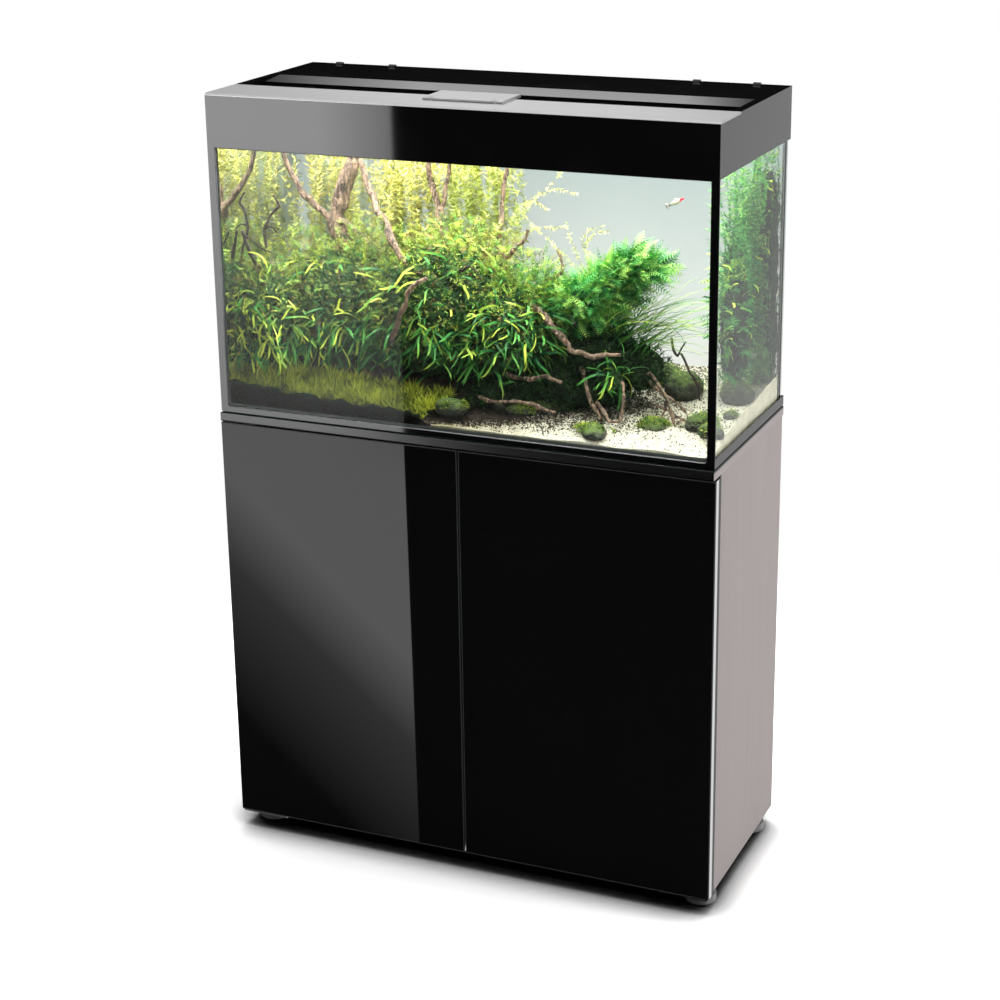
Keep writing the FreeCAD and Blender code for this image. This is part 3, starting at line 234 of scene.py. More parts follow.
BLACK, WHITE = (0, 0, 0, 1), (1, 1, 1, 1)
HANDED_OUT = {"Colour": "Color", "Roughness": "Float", "Normal": "Vector"}
GROUPS = {}


def plug(tree, node, sockets):
    """Fills a node's inputs: a value that is a socket is linked, any other is set."""
    for key, value in sockets.items():
        if isinstance(value, bpy.types.NodeSocket):
            tree.links.new(value, node.inputs[key])
        else:
            node.inputs[key].default_value = value


def add_node(tree, kind, sockets=None, **settings):
    """Adds a shader node with its settings and inputs."""
    made = tree.nodes.new("ShaderNode" + kind)
    made.location = (220 * (len(tree.nodes) % 8), -260 * (len(tree.nodes) // 8))
    for key, value in settings.items():
        setattr(made, key, value)
    plug(tree, made, sockets or {})
    return made


def rgba(colour, share=1.0):
    """A colour setting as four numbers, made darker or lighter by share."""
    return (*[min(1.0, channel * share) for channel in colour], 1.0)


def grey(tone):
    """A grey as four numbers."""
    return (tone, tone, tone, 1)


def blend_colours(tree, factor, first, second, mode="MIX"):
    """Colour socket that goes from first to second."""
    return add_node(tree, "Mix", {0: factor, 6: first, 7: second}, data_type="RGBA", blend_type=mode).outputs[2]


def blend_numbers(tree, factor, first, second):
    """Value socket that goes from first to second."""
    return add_node(tree, "Mix", {0: factor, 2: first, 3: second}, data_type="FLOAT").outputs[0]


def work_out(tree, operation, *values):
    """Value socket of one math operation on numbers or sockets."""
    return add_node(tree, "Math", dict(enumerate(values)), operation=operation).outputs[0]


def spread(tree, value, low, high, to_low=0.0, to_high=1.0):
    """Value socket mapped from one range to another, held at its ends."""
    return add_node(tree, "MapRange", {"Value": value, "From Min": low, "From Max": high,
                                       "To Min": to_low, "To Max": to_high}).outputs[0]


def place_of(tree, stretch=(1, 1, 1)):
    """Object coordinates, stretched for grain."""
    source = add_node(tree, "TexCoord").outputs["Object"]
    return add_node(tree, "Mapping", {"Vector": source, "Scale": stretch}).outputs[0]


def axes_of(tree, where=None):
    """The X, Y and Z of a vector socket, or of the object coordinates."""
    return add_node(tree, "SeparateXYZ", {"Vector": place_of(tree) if where is None else where}).outputs


def facing_of(tree):
    """The X, Y and Z of the surface's own direction."""
    return axes_of(tree, add_node(tree, "NewGeometry").outputs["Normal"])


def cloud(tree, where, scale, detail=3.0, rough=0.55):
    """Soft noise mask."""
    return add_node(tree, "TexNoise", {"Vector": where, "Scale": scale, "Detail": detail,
                                       "Roughness": rough}).outputs["Fac"]


def bumped(tree, height, strength, distance):
    """Normal socket of a fine relief."""
    return add_node(tree, "Bump", {"Height": height, "Strength": strength, "Distance": distance}).outputs[0]


def stored(tree, label):
    """Number kept with each point of a piece."""
    return add_node(tree, "Attribute", attribute_name=label).outputs["Fac"]


def light_path(tree, kind):
    """Mask of one kind of ray."""
    return add_node(tree, "LightPath").outputs[kind]


def effect(name, **given):
    """Turns a function that wires a node group, with these inputs, into one that builds it once and returns it."""
    def wrap(wire):
        def built():
            if name not in GROUPS:
                tree = GROUPS[name] = bpy.data.node_groups.new(name, "ShaderNodeTree")
                for label, value in given.items():
                    kind = "Float" if isinstance(value, float) else {3: "Vector", 4: "Color"}[len(value)]
                    tree.interface.new_socket(label.replace("_", " "), in_out="INPUT",
                                              socket_type="NodeSocket" + kind).default_value = value
                results = wire(tree, tree.nodes.new("NodeGroupInput").outputs)
                for label in results:
                    tree.interface.new_socket(label, in_out="OUTPUT", socket_type="NodeSocket" + HANDED_OUT[label])
                plug(tree, tree.nodes.new("NodeGroupOutput"), results)
            return GROUPS[name]
        return built
    return wrap


@effect("Handled surface", Colour=BLACK, Dust_Colour=(0.3, 0.3, 0.3, 1), Dust=0.02, Roughness=0.1, Smudge=0.05,
        Grain=0.05, Scale=9.0)
def handled(tree, given):
    """Smudges and dust of a handled surface."""
    where = place_of(tree)
    smudge = cloud(tree, where, given["Scale"], 4.0)
    dust = work_out(tree, "MULTIPLY", spread(tree, smudge, 0.52, 0.78), given["Dust"])
    return {"Colour": blend_colours(tree, dust, given["Colour"], given["Dust Colour"]),
            "Roughness": work_out(tree, "MULTIPLY_ADD", smudge, given["Smudge"], given["Roughness"]),
            "Normal": bumped(tree, cloud(tree, where, 900.0, 2.0), given["Grain"], 0.0002)}


@effect("Long grain", Dark=(0.1, 0.1, 0.1, 1), Light=(0.2, 0.2, 0.2, 1), Stretch=(1, 1, 0.08), Relief=0.1)
def grained(tree, given):
    """Long grain along one axis, for laminate, wood and brushed metal."""
    where = place_of(tree, given["Stretch"])
    lines = cloud(tree, where, 60.0, 5.0, 0.6)
    mask = work_out(tree, "MULTIPLY", lines, cloud(tree, where, 9.0, 3.0))
    return {"Colour": blend_colours(tree, spread(tree, mask, 0.12, 0.42), given["Dark"], given["Light"]),
            "Normal": bumped(tree, lines, given["Relief"], 0.0003)}


@effect("Mottled patches", First=(0.1, 0.1, 0.1, 1), Second=(0.2, 0.2, 0.2, 1), Patch_Scale=30.0,
        Fine_Scale=260.0, Relief=0.6)
def mottled(tree, given):
    """Patches of two colours with darker pits, for stone, soil, moss and bark."""
    where = place_of(tree)
    patches = spread(tree, cloud(tree, where, given["Patch Scale"], 5.0, 0.62), 0.40, 0.62)
    fine = cloud(tree, where, given["Fine Scale"], 4.0, 0.65)
    cells = add_node(tree, "TexVoronoi", {"Vector": where, "Scale": given["Fine Scale"]}).outputs["Distance"]
    pits = spread(tree, fine, 0.32, 0.60, 0.45, 1.25)
    shade = add_node(tree, "CombineColor", {"Red": pits, "Green": pits, "Blue": pits}).outputs[0]
    two = blend_colours(tree, patches, given["First"], given["Second"])
    return {"Colour": blend_colours(tree, 1.0, two, shade, "MULTIPLY"),
            "Normal": bumped(tree, work_out(tree, "SUBTRACT", fine, cells), given["Relief"], 0.0015)}


@effect("Foliage tone", Deep=(0, 0.1, 0, 1), Middle=(0.1, 0.3, 0.05, 1), Bright=(0.3, 0.6, 0.1, 1))
def foliage(tree, given):
    """Leaf colour from each leaf's tone, paler towards its tip; in the clumps the tone holds painted light, brighter
    high in a clump.
    """
    where = place_of(tree)
    lit = work_out(tree, "MULTIPLY_ADD", stored(tree, "along"), 0.35, stored(tree, "tone"))
    share = spread(tree, work_out(tree, "MULTIPLY_ADD", cloud(tree, where, 70.0, 4.0), 0.5, lit), 0.35, 1.35)
    lower = blend_colours(tree, spread(tree, share, 0.0, 0.45), given["Deep"], given["Middle"])
    veins = add_node(tree, "TexNoise", {"Vector": where, "Scale": 1100.0, "Detail": 2.0}).outputs["Fac"]
    return {"Colour": blend_colours(tree, spread(tree, share, 0.45, 1.0), lower, given["Bright"]),
            "Normal": bumped(tree, veins, 0.25, 0.0006)}


def blank(name):
    """New material with its node tree and its main shader."""
    material = bpy.data.materials.new(name)
    material.use_nodes = True
    return material, material.node_tree, material.node_tree.nodes["Principled BSDF"]


def finish_of(name, made_group, values, **plain):
    """A material with one Principled shader, fed by one effect group; the rest are plain numbers."""
    material, tree, shader = blank(name)
    holder = tree.nodes.new("ShaderNodeGroup")
    holder.node_tree = made_group
    plug(tree, holder, {label.replace("_", " "): value for label, value in values.items()})
    plug(tree, shader, {"Base Color" if output.name == "Colour" else output.name: output
                        for output in holder.outputs})
    plug(tree, shader, {label.replace("_", " "): value for label, value in plain.items()})
    return material


def painted_over(material, mask, colour, rough=None):
    """The same finish with a second colour, and roughness if given, where the mask says."""
    tree, shader = material.node_tree, material.node_tree.nodes["Principled BSDF"]
    for label, second, blend in (("Base Color", colour, blend_colours), ("Roughness", rough, blend_numbers)):
        if second is not None:
            first = shader.inputs[label].links[0].from_socket
            plug(tree, shader, {label: blend(tree, mask, first, second)})
    return material


def one_of(tree, share, first, second):
    """Shader socket that goes from first to second."""
    return add_node(tree, "MixShader", {0: share, 1: first, 2: second}).outputs[0]


def glow(tree, colour, strength):
    """Shader socket of plain light."""
    return add_node(tree, "Emission", {"Color": colour, "Strength": strength}).outputs[0]


def show(tree, shader):
    """Makes a shader socket the one that is seen."""
    plug(tree, tree.nodes["Material Output"], {"Surface": shader})


def show_glass(tree, body, colour):
    """Shows a glassy shader that light for shadows passes straight through, tinted."""
    clear = add_node(tree, "BsdfTransparent", {"Color": colour}).outputs[0]
    show(tree, one_of(tree, light_path(tree, "Is Shadow Ray"), body, clear))


# ---------------------------------------------------------------- finishes of the rigid parts

PANE_IOR = 1.19                              # a coated pane: its mirror image is faint
ALONG_X, ALONG_Z = (0.04, 1.0, 1.0), (1.0, 1.0, 0.06)        # stretch of a grain that runs along one axis


def moulded(name, colour, rough, dust=0.02, smudge=0.05, grain=0.03, scale=9.0, **plain):
    """Moulded, lacquered or rubber surface."""
    return finish_of(name, handled(), dict(Colour=rgba(colour), Dust=dust, Roughness=rough, Smudge=smudge,
                                           Grain=grain, Scale=scale), **plain)


def boarded(name, colour, contrast, stretch, rough, relief=0.08, **plain):
    """Laminate, wood or brushed metal with its grain along one axis."""
    return finish_of(name, grained(), dict(Dark=rgba(colour, 1 - contrast), Light=rgba(colour, 1 + contrast),
                                           Stretch=stretch, Relief=relief), Roughness=rough, **plain)


def patched(name, first, second, patch, fine, relief, rough):
    """Soil, stone, bark, moss or foam in two colours."""
    return finish_of(name, mottled(), dict(First=first, Second=second, Patch_Scale=patch, Fine_Scale=fine,
                                           Relief=relief), Roughness=rough)


def pane_finish(name, colour, inward=0):
    """Clear float glass: light passes straight through it for shadows. The inner face of an end pane, whose
    normal points along X by inward, mirrors a glancing look, as glass backed by water does."""
    material, tree, glass = blank(name)
    film = spread(tree, cloud(tree, place_of(tree), 7.0, 4.0), 0.35, 0.75)
    plug(tree, glass, {"Base Color": blend_colours(tree, film, rgba(colour), rgba(colour, 0.985)),
                       "Roughness": spread(tree, film, 0.0, 1.0, 0.0, 0.012), "IOR": PANE_IOR,
                       "Transmission Weight": 1.0})
    body = glass.outputs[0]
    if inward:
        glance = add_node(tree, "LayerWeight", {"Blend": 0.5}).outputs["Facing"]
        share = spread(tree, add_node(tree, "NewGeometry").outputs["Backfacing"], 0.0, 1.0, 0.96, 0.0)
        for mask in (spread(tree, facing_of(tree)["X"], 0.4 * inward, 0.6 * inward),
                     spread(tree, glance, 0.30, 0.40)):
            share = work_out(tree, "MULTIPLY", share, mask)
        mirror = add_node(tree, "BsdfAnisotropic", {"Color": (0.90, 0.94, 0.90, 1), "Roughness": 0.03})
        body = one_of(tree, share, body, mirror.outputs[0])
    show_glass(tree, body, rgba(colour))
    return material


def film_finish(colours):
    """Frosted film behind the tank, which glows with painted light: deeper near the hood, almost white near the sand.
    """
    material = moulded("Frosted film", BLACK[:3], 0.55, dust=0.0, smudge=0.05, grain=0.1)
    tree = material.node_tree
    where = place_of(tree)
    rise = spread(tree, axes_of(tree, where)["Z"], ROOM_LOW.z + 0.02, HOOD_UNDER, 1.0, 0.0)
    fog = spread(tree, work_out(tree, "MULTIPLY_ADD", cloud(tree, where, 4.0, 2.0), 0.12, rise), 0.06, 0.95)
    tone = blend_colours(tree, fog, rgba(colours.film_top), rgba(colours.film_foot))
    # Painted light: the film glows in its own colour and takes only a dim share of the lamps' light.
    plug(tree, tree.nodes["Principled BSDF"],
         {"Base Color": blend_colours(tree, 1.0, tone, grey(0.30), "MULTIPLY"), "Emission Color": tone,
          "Emission Strength": 0.50})
    return material


def lamp_finish(colour):
    """Opal tube, brightest along its middle and dull at its caps."""
    material = moulded("Opal lamp", colour, 0.3, dust=0.0, grain=0.05)
    tree = material.node_tree
    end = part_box("led_tube_front")[1].x
    middle = spread(tree, work_out(tree, "ABSOLUTE", axes_of(tree)["X"]), end - 0.004, end - 0.03)
    plug(tree, tree.nodes["Principled BSDF"],
         {"Emission Color": blend_colours(tree, middle, BLACK, rgba(colour)), "Emission Strength": 5.0})
    return material


def door_finish(node, colour):
    """Back-lacquered glass of one door with a rough ground edge all round, whose paler colour is a painted highlight.
    """
    material = moulded("Door glass", colour, 0.012, dust=0.003, smudge=0.015, grain=0.0, scale=6.0,
                       Specular_IOR_Level=0.22)
    tree = material.node_tree
    low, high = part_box(node)
    masks = []
    for axis, wide in ((0, 0.0011), (2, 0.0018)):
        middle, half = (low[axis] + high[axis]) / 2, (high[axis] - low[axis]) / 2
        far = work_out(tree, "ABSOLUTE", work_out(tree, "SUBTRACT", axes_of(tree)[axis], middle))
        masks.append(spread(tree, far, half - wide, half - wide * 0.6))
    # Painted highlight: a thin band along every edge of the door is pale grey, and rough.
    return painted_over(material, work_out(tree, "MAXIMUM", *masks), (0.07, 0.072, 0.075, 1), 0.7)


def bezel_finish(colours):
    """Black border plate whose window edge is painted pale grey along its left and lower sides: a painted highlight
    where those faces catch the light.
    """
    material = moulded("Border plate", colours.gloss_black, 0.045, dust=0.012, smudge=0.03, grain=0.012)
    tree = material.node_tree
    facing = facing_of(tree)
    inner = work_out(tree, "MULTIPLY", spread(tree, facing["X"], 0.45, 0.60),
                     spread(tree, axes_of(tree)["X"], 0.0, -0.1))
    # Painted highlight: faces turned to the right on the left side, and faces turned up, are pale grey and less
    # glossy.
    edge_highlight = work_out(tree, "MAXIMUM", inner, spread(tree, facing["Z"], 0.45, 0.60))
    return painted_over(material, edge_highlight, (0.20, 0.20, 0.205, 1), 0.4)


def banded_finish(node, colours):
    """Black board whose ends are banded in taupe below a black lip."""
    material = boarded("Banded board", colours.black_board, 0.25, ALONG_X, 0.33)
    tree = material.node_tree
    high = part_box(node)[1]
    split = axes_of(tree)
    end = spread(tree, work_out(tree, "ABSOLUTE", split["X"]), high.x - 0.0004, high.x - 0.0002)
    below = spread(tree, split["Z"], high.z - 0.0030, high.z - 0.0034)
    return painted_over(material, work_out(tree, "MULTIPLY", end, below), rgba(colours.taupe_board))


def rigid_finishes(c):
    """One finish for each slot of the record that a rigid part uses, from the colour settings."""
    return {
        "gloss_black": moulded("Gloss black", c.gloss_black, 0.045, dust=0.012, smudge=0.03, grain=0.012),
        "black_plastic": moulded("Black plastic", c.black_plastic, 0.34, smudge=0.12, grain=0.30),
        "black_glass": moulded("Black glass", c.black_glass, 0.012, dust=0.003, smudge=0.015, grain=0.0, scale=6.0),
        "clear_glass": pane_finish("Clear glass", c.glass_tint),
        "taupe_laminate": boarded("Taupe laminate", c.taupe_board, 0.045, ALONG_Z, 0.42, relief=0.05),
        "black_laminate": boarded("Black laminate", c.black_board, 0.25, ALONG_X, 0.33),
        "polished_trim": boarded("Polished aluminium", c.polished, 0.04, ALONG_Z, 0.13, relief=0.03, Metallic=1.0),
        "satin_metal": boarded("Satin aluminium", c.satin, 0.05, ALONG_X, 0.34, relief=0.06, Metallic=0.35),
        "steel": boarded("Zinc-plated steel", c.steel, 0.12, (1, 1, 1), 0.28, relief=0.10, Metallic=1.0),
        "beech": boarded("Beech", c.beech, 0.14, ALONG_X, 0.6, relief=0.2),
        "foot_plastic": moulded("Foot plastic", c.foot, 0.16, smudge=0.06, grain=0.05, Transmission_Weight=0.35),
        "foam": patched("Foam", rgba(c.foam, 0.8), rgba(c.foam, 1.3), 60.0, 900.0, 0.5, 0.8),
        "silicone": moulded("Clear silicone", c.silicone, 0.28, smudge=0.15, grain=0.4, scale=40.0,
                            Transmission_Weight=0.85),
        "frosted_film": film_finish(c),
        "lamp_white": lamp_finish(c.lamp),
    }


class AQUARIUM_OT_finishes(bpy.types.Operator):
    """Give every board, pane, plastic and metal part its finish"""
    bl_idname = "aquarium.finishes"
    bl_label = "Cabinet, tank and hood"

    def execute(self, context):
        colours = context.scene.aquarium_colours
        finishes = rigid_finishes(colours)
        pale = moulded("Pale plastic", colours.film_top, 0.4, smudge=0.1, grain=0.2)
        special = {"glass_left": pane_finish("End pane, left", colours.glass_tint, 1),
                   "glass_right": pane_finish("End pane, right", colours.glass_tint, -1),
                   "top_board": banded_finish("top_board", colours), "front_bezel": bezel_finish(colours),
                   "filter_body": pale, "filter_head": pale, "heater": pale}
        dark_steel = moulded("Blackened steel", colours.black_plastic, 0.5)
        for node in frame["nodes"]:
            if node.startswith("top_pivot"):
                special[node] = dark_steel
            if node.startswith("door_glass"):
                special[node] = door_finish(node, colours.black_glass)
        for node, part in frame["nodes"].items():
            finish = special.get(node) or finishes.get(SLOT_OF[node])
            if finish:
                part.data.materials.clear()
                part.data.materials.append(finish)
        return {"FINISHED"}


# ---------------------------------------------------------------- modelling helpers

def placed(centre, sizes, turn=Matrix.Identity(4)):
    """Transform that scales by sizes, turns and then moves to centre."""
    return Matrix.Translation(centre) @ turn @ Matrix.Diagonal((*sizes, 1))


def add_shape(add_primitive, shaped=None, **settings):
    """Adds one primitive, selected alone, and shapes its mesh by a transform."""
    bpy.ops.object.select_all(action="DESELECT")
    add_primitive(location=(0, 0, 0), **settings)
    if shaped:
        bpy.context.object.data.transform(shaped)
    return bpy.context.object


def set_up(name, data):
    """Adds one object with its data to the scene."""
    made = bpy.data.objects.new(name, data)
    bpy.context.scene.collection.objects.link(made)
    return made


def alone(piece):
    """Selects one piece and nothing else."""
    bpy.ops.object.select_all(action="DESELECT")
    piece.select_set(True)
    bpy.context.view_layer.objects.active = piece


def begin_edit(piece):
    """Opens one piece in edit mode with nothing selected and returns its edit mesh."""
    alone(piece)
    bpy.ops.object.mode_set(mode="EDIT")
    bpy.ops.mesh.select_all(action="DESELECT")
    return bmesh.from_edit_mesh(piece.data)


def draw_out(*step):
    """Extrudes what is selected by a step."""
    bpy.ops.mesh.extrude_region_move(TRANSFORM_OT_translate={"value": step})


def end_edit():
    """Turns every face outwards and goes back to object mode."""
    bpy.ops.mesh.select_all(action="SELECT")
    bpy.ops.mesh.normals_make_consistent(inside=False)
    bpy.ops.object.mode_set(mode="OBJECT")


def apply_all(piece):
    """Applies every modifier and then the object's own place, so that its place is in its mesh."""
    alone(piece)
    for modifier in list(piece.modifiers):
        bpy.ops.object.modifier_apply(modifier=modifier.name)
    bpy.ops.object.transform_apply(location=True, rotation=True, scale=True)


def displace(piece, scale, strength):
    """Pushes a piece's surface in and out by a procedural pattern and applies it."""
    texture = bpy.data.textures.new(piece.name, "CLOUDS")
    texture.noise_scale = scale
    modifier = piece.modifiers.new("relief", "DISPLACE")
    modifier.texture, modifier.strength, modifier.texture_coords = texture, strength, "GLOBAL"
    apply_all(piece)


def melt(piece, voxel):
    """Melts the parts of a piece into one skin."""
    modifier = piece.modifiers.new("skin", "REMESH")
    modifier.mode, modifier.voxel_size = "VOXEL", voxel
    apply_all(piece)


def joined(pieces):
    """One piece from several, of which the last is active."""
    for piece in pieces:
        piece.select_set(True)
    bpy.ops.object.join()
    return bpy.context.object


def dress(piece, name, material, slot, *nodes):
    """Names a finished piece, gives it its finish, ties it to its body and hides its CAD nodes."""
    piece.name = piece.data.name = name
    piece.data.materials.clear()
    piece.data.materials.append(material)
    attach(piece, FIXED)
    if nodes:
        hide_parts(*nodes)


def keep_in_tank(points, top=None):
    """Points pressed back inside the panes and under the water, or under top."""
    low = np.array(ROOM_LOW) + GLASS_GAP
    high = np.array(ROOM_HIGH) - GLASS_GAP
    high[2] = top or water_line() - UNDER_WATER
    return np.clip(points, low, high)


def press_in(piece, top=None):
    """Presses the points of a piece back inside the tank."""
    points = keep_in_tank(np.array([v.co for v in piece.data.vertices]), top)
    piece.data.vertices.foreach_set("co", points.astype(np.float32).ravel())


def as_model(piece):
    """Points and faces of a piece, which is then removed."""
    points = np.array([v.co for v in piece.data.vertices])
    faces = [tuple(f.vertices) for f in piece.data.polygons]
    bpy.data.objects.remove(piece)
    return points, faces


def shoot(rings, flat, taper=lambda share: 1.0):
    """One leaf, modelled once: a triangle drawn out along Z ring by ring to a point, one unit long and wide."""
    leaf = add_shape(bpy.ops.mesh.primitive_circle_add, vertices=3, radius=0.5, fill_type="NGON")
    begin_edit(leaf)
    bpy.ops.mesh.select_all(action="SELECT")
    bpy.ops.transform.resize(value=(1.15, flat, 1))
    bpy.ops.transform.resize(value=(taper(0), taper(0), 1))
    for ring in range(1, rings + 1):
        wide = taper(ring / rings) / taper((ring - 1) / rings)
        draw_out(0, 0, 1 / rings)
        if ring < rings:
            bpy.ops.transform.resize(value=(wide, wide, 1))
    bpy.ops.mesh.merge(type="CENTER")
    end_edit()
    return as_model(leaf)


def strap_model(rings, reach):
    """One strap leaf: broadest past its middle and swaying from side to side."""
    return waved(shoot(rings, 0.22, lambda share: 0.45 + 0.55 * math.sin(math.pi * min(1.0, 0.15 + share * 0.75))),
                 reach, 0.9)


def stalk_model():
    """One length of stalk, a little thinner at its top."""
    return shoot(2, 1.0, lambda share: 1.0 - 0.2 * share)


def waved(model, reach, turns):
    """A leaf's model with its line made to sway from side to side."""
    points, faces = model
    points[:, 0] += reach * np.sin(turns * 2 * math.pi * points[:, 2]) * np.sqrt(np.maximum(points[:, 2], 0))
    return points, faces


def frond_model(pairs):
    """One fern frond: a rib with pairs of pointed leaflets, one unit long."""
    rib, rib_faces = shoot(1, 1.0)
    leaflet, leaflet_faces = shoot(1, 0.35)
    points, faces = [rib * (0.035, 0.035, 1)], list(rib_faces)
    count = len(rib)
    for pair in range(pairs):
        along = 0.12 + 0.86 * pair / pairs
        reach = 0.24 * math.sin(math.pi * min(1.0, 0.22 + 0.86 * (pair + 0.6) / pairs)) + 0.05
        for side in (-1, 1):
            turn = np.array(Euler((0, side * math.radians(58), 0)).to_matrix())
            points.append((leaflet * (0.060, 0.04, reach)) @ turn.T + (0, 0, along))
            faces += [tuple(v + count for v in face) for face in leaflet_faces]
            count += len(leaflet)
    return np.concatenate(points), faces


def grow(name, model, spots, material, slot, *nodes):
    """Makes one piece of many copies of a model. Each spot: base, direction, roll, length, width, bend, tone."""
    shape, faces = model
    bases, aims, rolls, lengths, widths, bends, tones = (np.array(column, float) for column in zip(*spots))
    aims /= np.linalg.norm(aims, axis=1)[:, None]
    helper = np.where(np.abs(aims[:, 2:3]) > 0.95, [[1.0, 0.0, 0.0]], [[0.0, 0.0, 1.0]])
    side = np.cross(aims, helper)
    side /= np.linalg.norm(side, axis=1)[:, None]
    front = np.cross(aims, side)
    cosine, sine = np.cos(rolls)[:, None], np.sin(rolls)[:, None]
    side, front = side * cosine + front * sine, front * cosine - side * sine
    angle = bends[:, None] * shape[None, :, 2]
    bend = np.where(np.abs(bends) < 1e-3, 1e-3, bends)[:, None]
    thick = shape[None, :, 1] * widths[:, None]
    reach = np.sin(angle) / bend * lengths[:, None] - thick * np.sin(angle)
    sag = (1 - np.cos(angle)) / bend * lengths[:, None] + thick * np.cos(angle)
    points = (bases[:, None, :] + side[:, None, :] * (shape[None, :, 0] * widths[:, None])[..., None]
              + front[:, None, :] * sag[..., None] + aims[:, None, :] * reach[..., None])
    count = len(shape)
    copies = [tuple(v + copy * count for v in face) for copy in range(len(spots)) for face in faces]
    mesh = bpy.data.meshes.new(name)
    mesh.from_pydata(keep_in_tank(points.reshape(-1, 3)), [], copies)
    for label, values in (("tone", np.repeat(tones, count)), ("along", np.tile(shape[:, 2], len(spots)))):
        mesh.attributes.new(label, "FLOAT", "POINT").data.foreach_set("value", values.astype(np.float32))
    mesh.update()
    dress(set_up(name, mesh), name, material, slot, *nodes)


def any_way(dice):
    """Random step in a cube from -1 to 1."""
    return tuple(dice.uniform(-1, 1) for axis in range(3))


def astray(dice, *reach):
    """Random step, most often short, with its own reach along each axis."""
    return Vector([dice.gauss(0, far) for far in reach])


def inside(centre, radii, out, share=1.0):
    """Point of a clump, from a step in which 1 is its outside, drawn in by share."""
    return place(*centre) + Vector(a * b * share for a, b in zip(out, radii))


def clumps(*rows):
    """Centres by place() and radii in metres, both from thousandths."""
    return [([n / 1000 for n in row[:3]], [n / 1000 for n in row[3:]]) for row in rows]


def route(*numbers):
    """Points by place(), from thousandths."""
    return [[n / 1000 for n in numbers[start:start + 3]] for start in range(0, len(numbers), 3)]


def limb(thick, thin, *numbers):
    """Line of a limb and its radius at both ends in metres, from tenths of a millimetre."""
    return route(*numbers), thick / 10000, thin / 10000


def heart(name, rows, share, patch, strength, material, slot):
    """Dark mass of painted shade inside a clump: crumpled balls melted into one skin."""
    mass = joined([add_shape(bpy.ops.mesh.primitive_ico_sphere_add,
                             placed(place(*centre), [radius * share for radius in radii]), subdivisions=4, radius=1)
                   for centre, radii in rows])
    melt(mass, 0.004)
    displace(mass, patch, strength)
    displace(mass, patch / 4, strength / 2)
    press_in(mass)
    dress(mass, name, material, slot)


# ---------------------------------------------------------------- ground

GROUND_STEP = 0.003                          # spacing of the ground's mesh, in metres
WALL_GAP = 0.004                             # nothing loose lies nearer to a pane


def slab(within, height):
    """Closed ground body: a grid shaped to its heights, trimmed to its outline and drawn down to the tank floor."""
    low, high = ROOM_LOW + Vector((GLASS_GAP,) * 3), ROOM_HIGH - Vector((GLASS_GAP,) * 3)
    wide, deep = high.x - low.x, high.y - low.y
    ground = add_shape(bpy.ops.mesh.primitive_grid_add,
                       placed(((low.x + high.x) / 2, (low.y + high.y) / 2, 0), (wide, deep, 1)), size=1,
                       x_subdivisions=int(wide / GROUND_STEP), y_subdivisions=int(deep / GROUND_STEP))
    for vertex in ground.data.vertices:
        vertex.co.z = height(vertex.co.x, vertex.co.y)
    edit = begin_edit(ground)
    for face in edit.faces:
        middle = face.calc_center_median()
        face.select = not within(middle.x, middle.y)
    bpy.ops.mesh.delete(type="FACE")
    bpy.ops.mesh.select_all(action="SELECT")
    draw_out(0, 0, 0)
    bpy.ops.transform.resize(value=(1, 1, 0), center_override=(0, 0, ROOM_LOW.z + 0.0004))
    end_edit()
    return ground


def sand_height(x, y):
    """Raked sand: its slope with ripples."""
    return sand_line(y) + (noise_at(x, y, 18, 7) * 0.003 + noise_at(x, y, 120, 9) * 0.0006)


def soil_height(x, y):
    """Raked soil: its slope with soft humps; the litter beyond the border lies flat on the sand."""
    hump = noise_at(x, y, 14, 1) * 0.0035 + noise_at(x, y, 90, 4) * 0.0012
    beyond = clamp((x - border_at(y)) / 0.020)
    return (soil_line(x, y) + hump) * (1 - beyond) + sand_height(x, y) * beyond


def sand_finish(colour, speck):
    """Fine sand, darker and yellower near the soil under painted shade, with dark grains through it."""
    material = patched("Cream sand", rgba(colour, 0.88), rgba(colour, 1.06), 60.0, 900.0, 0.35, 0.8)
    tree = material.node_tree
    where = place_of(tree)
    cells = add_node(tree, "TexVoronoi", {"Vector": where, "Scale": 330.0}).outputs
    hue = add_node(tree, "SeparateColor", {"Color": cells["Color"]}).outputs["Red"]
    grain = work_out(tree, "MULTIPLY", spread(tree, cells["Distance"], 0.34, 0.26), spread(tree, hue, 0.80, 0.82))
    # Painted shade: towards the soil the sand turns a dark yellow-brown, where the root wood shades it.
    painted_shade = spread(tree, axes_of(tree, where)["X"], -0.04, 0.15, 0.75, 0.0)
    return painted_over(painted_over(material, painted_shade, (0.30, 0.24, 0.09, 1)), grain, rgba(speck))


def grains(name, dice, count, lies, rise, width, material, slot, flat=0.75):
    """Loose grains on the ground: lies(x, y, dice) says where, rise(x, y) how high."""
    shape, faces = as_model(add_shape(bpy.ops.mesh.primitive_ico_sphere_add, subdivisions=1, radius=0.5))
    spots = []
    while len(spots) < count:
        x, y = (dice.uniform(low + WALL_GAP, high - WALL_GAP) for low, high in zip(ROOM_LOW[:2], ROOM_HIGH[:2]))
        if lies(x, y, dice):
            grain = width * dice.uniform(0.6, 1.25)
            aim = any_way(dice)
            spots.append(((x, y, rise(x, y)), aim, dice.uniform(0, WHOLE_TURN), grain, grain, 0.0, dice.random()))
    grow(name, (shape * (1, flat, 1), faces), spots, material, slot)


